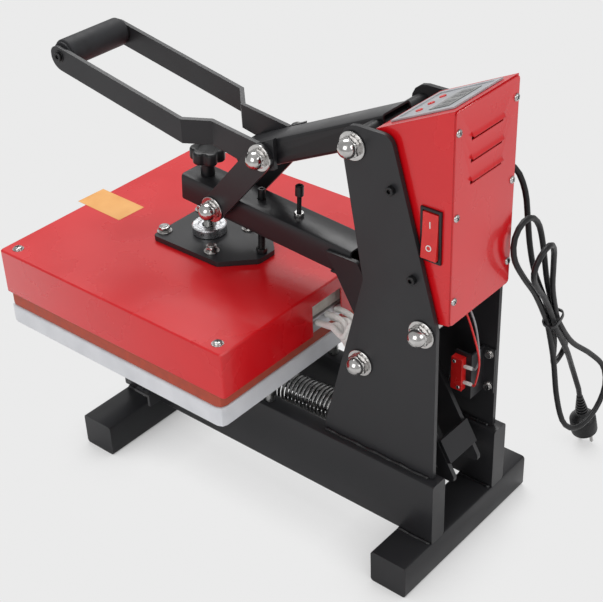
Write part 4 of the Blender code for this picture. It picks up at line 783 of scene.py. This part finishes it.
def make_plug():
    """The moulded plug on its two round pins, with a ribbed neck."""
    axis = (plug_toe - plug_top).normalized()
    place = axis_frame(plug_top, axis)
    length = (plug_toe - plug_top).length
    tip, neck, relief, body, wide = cord_radius + 2 * gap, 0.0095, 0.036, 0.036, 0.0185
    profile = [(0, 0), (tip, 0)]
    ribs = 7
    for k in range(ribs):
        low = 0.002 + (relief - 0.004) * k / ribs
        radius = tip + (neck - tip) * (k + 0.5) / ribs
        valley = radius - 0.0011
        profile += [(radius, low), (radius, low + 0.0026), (valley, low + 0.0030), (valley, low + 0.0044)]
    end = relief + body
    shoulder = relief + body * 0.25
    ease = 0.002
    profile += [(neck, relief), (neck + ease, relief + ease), (wide - ease, shoulder - ease),
                (wide, shoulder + 0.001), (wide, end - 0.0025), (wide - 0.0022, end), (0, end)]
    bm = bmesh.new()
    add_turned(bm, profile, place, 40)
    plug = add_piece("plug_look", bm, cord_rubber, "base", ("power_plug",))
    bm = bmesh.new()
    for side in (right, left):
        pin = place @ Matrix.Translation((0, side * 0.0095, 0))
        root, thick, point = end - 0.001, 0.0024, 0.0016
        add_turned(bm, [(0, root), (thick, root), (thick, length - 0.0026), (point, length - 0.0008),
                        (0, length)], pin, 24)
    pins = add_piece("plug_pins", bm, zinc, "base")
    return plug, pins


def make_tie():
    """A flat tie round the hank's waist."""
    centre = bundle_point(0, 0, strand / 2)
    place = axis_frame(centre - hank_axis * tie_width / 2, hank_axis, Vector((0, 1, 0)))
    half_out, half_across = strand * tie_out_share, strand * tie_across_share
    edge = 0.0004
    rings = []
    for swell, height in ((0, 0), (tie_thickness, edge), (tie_thickness, tie_width - edge), (0, tie_width)):
        ring = []
        for k in range(48):
            turn = full_turn * k / 48
            c, d = math.cos(turn), math.sin(turn)
            a = (half_out + swell) * math.copysign(abs(c) ** tie_square_share, c)
            b = (half_across + swell) * math.copysign(abs(d) ** tie_square_share, d)
            ring.append(place @ Vector((a, b, height)))
        rings.append(ring)
    bm = bmesh.new()
    add_loft(bm, rings, closed=True)
    return add_piece("tie_look", bm, knob_plastic, "base", ("cord_tie",))


def make_lead():
    """The mains lead from the box to its plug, hanked up behind the box."""
    make_gland()
    plug, pins = make_plug()
    tie = make_tie()
    points = cord_points()
    lead = curve_object("mains_lead", points, cord_radius, cord_rubber, 4)
    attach(lead, "base")
    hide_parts("power_cord", "cord_hank")


def make_heater_leads():
    """Woven sleeves over the heater's leads, out of the cover's notch and up behind the near side plate."""
    radius = 0.0042
    starts = ((-0.022, 0.255), (-0.0125, 0.2475), (-0.003, 0.2575), (0.0075, 0.2480), (0.0175, 0.2560))
    for number, (x, z) in enumerate(starts):
        lane = (number - 2) * 0.0045
        route = [Vector((x, 0.0885, z)), Vector((x + 0.003, 0.105, z + 0.004)),
                 Vector((0.010 + x * 0.7 + lane, 0.126, 0.262 + lane)),
                 Vector((0.040 + lane * 0.6, 0.156, 0.262 + lane * 1.6)),
                 Vector((0.046, 0.182 - lane, 0.296 + lane)), Vector((0.046, 0.225 - lane, 0.330 + lane)),
                 Vector((0.040 + lane, 0.262 - lane, 0.346 + lane)),
                 Vector((0.030 + lane * 1.9, 0.288, 0.3585))]
        points = smooth_route(route, 0.006)
        sleeve = curve_object("heater_wire", points, radius, white_sleeve, 4)
        lead = as_mesh(sleeve, "heater_lead_" + str(number + 1))
        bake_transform(lead)


def make_switch_leads():
    """Two thin wires from the limit switch up to the box, with crimp sleeves."""
    radius = 0.0013
    sleeves = bmesh.new()
    for number, (z, x, look) in enumerate(((0.246, -0.028, grey_wire), (0.222, -0.028, red_plastic))):
        start = Vector((x, 0.2850, z))
        profile = [(0, 0), (0.0021, 0), (0.0024, 0.001), (0.0024, 0.011), (0.0016, 0.0125), (0, 0.0125)]
        add_turned(sleeves, profile, axis_frame(start, Vector((0, 1, 0.1))), 20)
        tip = start + Vector((0, 0.0125, 0.00125))
        end = Vector((-0.004 + 0.008 * number, 0.300, 0.3615))
        bend = Vector((-0.020 + 0.006 * number, 0.311 + 0.004 * number, 0.275))
        rise = Vector((-0.012 + 0.008 * number, 0.309, 0.325))
        route = [tip, tip + Vector((0, 0.004, 0.002)), bend, rise, end]
        points = smooth_route(route, 0.004)
        lead = curve_object("switch_lead_" + str(number + 1), points, radius, look, 3)
        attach(lead, "base")
    add_piece("switch_lead_sleeves", sleeves, white_mark, "base")


def add_bead(bm, start, end, radius):
    """A weld bead: overlapping scales that vary a little in size."""
    along = (end - start).normalized()
    length = (end - start).length
    place = axis_frame(start, along, up)
    step = radius * 0.42
    count = int(length / step)
    rings = []
    for k in range(count + 1):
        scale = 0.78 + 0.22 * abs(math.sin(k * 1.35)) + 0.10 * math.sin(k * 0.37)
        wander = radius * 0.18 * math.sin(k * 0.23)
        if k in (0, count):
            scale *= 0.4
        ring = []
        for j in range(12):
            turn = full_turn * j / 12
            reach = radius * scale
            ring.append(place @ Vector((wander + reach * math.cos(turn), reach * math.sin(turn), step * k)))
        rings.append(ring)
    add_loft(bm, rings)


def make_welds():
    """Beads where plates, tubes and brackets are welded."""
    bm = bmesh.new()
    rail_top, foot_top = 0.1411, 0.0485
    for side in (right, left):
        outer, inner = side * 0.0692, side * 0.0618
        for x in (outer, inner):
            add_bead(bm, Vector((x, 0.142, rail_top)), Vector((x, 0.304, rail_top)), 0.0032)
        rail_out, rail_in = side * 0.0808, side * 0.0538
        for x in (rail_out, rail_in):
            add_bead(bm, Vector((x, 0.266, foot_top)), Vector((x, 0.315, foot_top)), 0.0028)
            add_bead(bm, Vector((x, -0.225, foot_top)), Vector((x, -0.178, foot_top)), 0.0028)
        bracket = side * 0.0810
        add_bead(bm, Vector((bracket, -0.117, 0.1365)), Vector((bracket, -0.091, 0.1365)), 0.0026)
    add_piece("base_welds", bm, weld_steel, "base", smooth=60)
    bm = bmesh.new()
    low = -arm_height / 2 + 0.0012
    for side in (right, left):
        first = arm_place(0.121) @ Vector((side * 0.0236, 0, low))
        last = arm_place(0.147) @ Vector((side * 0.0236, 0, low))
        add_bead(bm, first, last, 0.0018)
    add_piece("arm_welds", bm, weld_steel, "arm", smooth=60)


def make_decal():
    """The plain orange decal on the cover."""
    place = Matrix.Translation((0.020, -0.286, cover_top)) @ Matrix.Rotation(math.radians(-2), 4, "Z")
    bm = bmesh.new()
    add_box(bm, (-0.0235, -0.0440, 0), (0.0235, 0.0440, 0.00025), place)
    add_piece("cover_decal", bm, decal_orange, "head")


def make_switch_marks():
    """A bar and a ring on the rocker's two halves."""
    x = box_half + 0.0028
    bm = bmesh.new()
    lean = math.atan2(0.0029, 0.028)
    lower = Matrix.Translation((x + 0.0034, 0.2938, 0.4625)) @ Matrix.Rotation(half_turn / 2 - lean, 4, "Y")
    upper = Matrix.Translation((x + 0.0013, 0.2938, 0.4905)) @ Matrix.Rotation(half_turn / 2 + 0.04, 4, "Y")
    add_box(bm, (-0.0042, -0.0006, -0.0004), (0.0042, 0.0006, 0.0003), upper)
    inner, outer = 0.0026, 0.0037
    ring = [(inner, -gap), (outer, -gap), (outer, gap), (inner, gap)]
    add_turned(bm, ring, lower, 32, closed=True)
    add_piece("rocker_marks", bm, white_mark, "rocker")


def slope_place():
    """A frame on the middle of the box's sloping top."""
    front, back = Vector((0, 0.2183, 0.5826)), Vector((0, 0.3192, 0.6298))
    along = (back - front).normalized()
    turn = Matrix((across, along, across.cross(along))).transposed().to_4x4()
    return Matrix.Translation((front + back) / 2) @ turn


def make_display():
    """The screen, with a row of four plain digits on it over the keys."""
    place = slope_place()
    floor = 0.0010
    bm = bmesh.new()
    add_box(bm, (-0.031, -0.002, floor), (0.031, 0.026, floor + 0.0006), place)
    add_piece("screen", bm, screen_glass, "base")
    bm = bmesh.new()
    for number in range(4):
        x = -0.0235 + 0.0135 * number + (0.004 if number > 1 else 0)
        add_box(bm, (x, 0.004, floor + 0.0006), (x + 0.0068, 0.0056, floor + 0.0008), place)
        add_box(bm, (x, 0.0112, floor + 0.0006), (x + 0.0068, 0.0128, floor + 0.0008), place)
        add_box(bm, (x, 0.0184, floor + 0.0006), (x + 0.0068, 0.0200, floor + 0.0008), place)
        for side_x in (x - 0.0002, x + 0.0056):
            add_box(bm, (side_x, 0.0046, floor + 0.0006), (side_x + 0.0014, 0.0194, floor + 0.0008), place)
    add_piece("screen_digits", bm, grey_wire, "base")


def make_limit_details():
    """Screws in the limit switch and nuts on its bracket."""
    bm = bmesh.new()
    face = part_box("limit_switch")[1][0]
    for y, z in ((0.2735, 0.2520), (0.2800, 0.2150)):
        add_cross_screw(bm, axis_frame(Vector((face, y, z)), across), 0.0026, 0.0016)
    low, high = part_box("limit_switch_bracket")
    wall = low[0] + 0.0025
    for z in (low[2] + 0.009, high[2] - 0.009):
        place = axis_frame(Vector((wall, high[1] - 0.008, z)), across, up)
        add_turned(bm, washer_rings(0, 0.0060, 0.0009, 0.0002), place, 28)
        add_turned(bm, hex_rings(0.0009, 0.0050, 0.0034, 0.0004), place, 36)
    add_piece("limit_switch_fixings", bm, zinc, "base")


def dress_nodes():
    """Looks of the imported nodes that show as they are."""
    looks = {
        black_paint: ("front_foot", "rear_foot", "rail_right", "rail_left", "side_plate_right",
                      "side_plate_left", "platen_bracket_right", "platen_bracket_left", "spring_anchor",
                      "main_arm", "yoke_right", "yoke_left", "yoke_cross_plate", "arm_pivot_sleeve",
                      "lever_tube", "handle_bar_right", "handle_bar_left", "link_right", "link_left",
                      "mount_plate", "limit_switch_bracket"),
        red_paint: ("head_cover", "control_box", "rear_panel"),
        slab_paint: ("lower_platen",), pad_rubber: ("silicone_pad",), platen_metal: ("heating_platen",),
        board_wool: ("insulation_board",), zinc: ("spring_pin", "limit_switch_lever"),
        display_face: ("display_panel",), knob_plastic: ("switch_bezel",),
        red_plastic: ("switch_rocker", "button_1", "button_2", "button_3", "limit_switch"),
        green_board: ("control_board",)}
    for look, names in looks.items():
        for name in names:
            show(name, look)


def shade_floor(tree, shader):
    """Let the camera see a pale grey where the floor is lit, and a softened contact shadow elsewhere."""
    make, link = tree.nodes.new, tree.links.new
    cloud = make("ShaderNodeTexNoise")
    cloud.inputs["Scale"].default_value = 3.0
    ramp = make("ShaderNodeValToRGB")
    ramp.color_ramp.elements[0].color = (0.79, 0.79, 0.79, 1)
    ramp.color_ramp.elements[1].color = (0.81, 0.81, 0.81, 1)
    link(cloud.outputs["Fac"], ramp.inputs["Fac"])
    link(ramp.outputs["Color"], shader.inputs["Base Color"])
    glow = make("ShaderNodeEmission")
    glow.inputs["Color"].default_value = (backdrop, backdrop, backdrop, 1)
    rays = make("ShaderNodeLightPath")
    blocked = make("ShaderNodeAmbientOcclusion")
    blocked.inputs["Distance"].default_value = shadow_reach
    blocked.samples = 16
    curve = make("ShaderNodeMapRange")
    curve.inputs["From Min"].default_value = 0.25
    curve.inputs["From Max"].default_value = 0.95
    curve.inputs["To Min"].default_value = 0.15
    link(blocked.outputs["AO"], curve.inputs["Value"])
    share = make("ShaderNodeMath")
    share.operation = "MULTIPLY"
    link(curve.outputs["Result"], share.inputs[0])
    link(rays.outputs["Is Camera Ray"], share.inputs[1])
    mix = make("ShaderNodeMixShader")
    link(share.outputs["Value"], mix.inputs["Fac"])
    link(shader.outputs["BSDF"], mix.inputs[1])
    link(glow.outputs["Emission"], mix.inputs[2])
    link(mix.outputs["Shader"], tree.nodes["Material Output"].inputs["Surface"])


def make_stage():
    """A plain pale floor, soft light and the photograph's viewpoint."""
    bpy.ops.mesh.primitive_plane_add(size=24)
    floor = bpy.context.object
    floor.name = "floor"
    made, tree, shader = new_nodes("floor_look")
    shader.inputs["Base Color"].default_value = (0.80, 0.80, 0.80, 1)
    shader.inputs["Roughness"].default_value = 0.9
    shader.inputs["Specular IOR Level"].default_value = 0.1
    shade_floor(tree, shader)
    floor.data.materials.append(made)
    world = bpy.data.worlds.new("studio")
    bpy.context.scene.world = world
    world.use_nodes = True
    tree = world.node_tree
    back = tree.nodes["Background"]
    back.inputs["Color"].default_value = (1, 1, 1, 1)
    back.inputs["Strength"].default_value = world_strength
    seen = tree.nodes.new("ShaderNodeBackground")
    seen.inputs["Color"].default_value = (backdrop, backdrop, backdrop, 1)
    rays = tree.nodes.new("ShaderNodeLightPath")
    mix = tree.nodes.new("ShaderNodeMixShader")
    tree.links.new(rays.outputs["Is Camera Ray"], mix.inputs["Fac"])
    tree.links.new(back.outputs["Background"], mix.inputs[1])
    tree.links.new(seen.outputs["Background"], mix.inputs[2])
    tree.links.new(mix.outputs["Shader"], tree.nodes["World Output"].inputs["Surface"])
    for name, place, size, power in (("key", (-1.6, -1.8, 3.6), 2.2, 95), ("fill", (3.2, 0.6, 2.4), 2.4, 45),
                                     ("back", (-0.5, 3.2, 2.2), 2.0, 30)):
        lamp = bpy.data.lights.new(name, "AREA")
        lamp.size = size
        lamp.energy = power
        holder = bpy.data.objects.new(name, lamp)
        holder.location = place
        aim = Vector((0, 0, 0.25)) - Vector(place)
        holder.rotation_euler = aim.to_track_quat("-Z", "Y").to_euler()
        bpy.context.scene.collection.objects.link(holder)
    camera = bpy.data.cameras.new("camera")
    camera.sensor_fit = "HORIZONTAL"
    camera.sensor_width = 36
    camera.lens = 78.74
    holder = bpy.data.objects.new("camera", camera)
    right_axis, up_axis = Vector((-0.6434, 0.7647, -0.0359)), Vector((-0.4378, -0.3290, 0.8368))
    turn = Matrix((right_axis, up_axis, right_axis.cross(up_axis))).transposed().to_4x4()
    holder.matrix_world = Matrix.Translation((1.0808, 1.0020, 1.2037)) @ turn
    bpy.context.scene.collection.objects.link(holder)
    bpy.context.scene.camera = holder
    bpy.context.scene.view_settings.view_transform = "Standard"


dress_nodes()
make_stage()
make_lead()
make_heater_leads()
make_switch_leads()
make_spring()
make_pivots()
make_grip()
make_knob()
make_collar()
make_mount_bolts()
make_arm_screws()
make_posts()
make_small_screws()
make_limit_details()
make_switch_marks()
make_display()
make_decal()
make_welds()
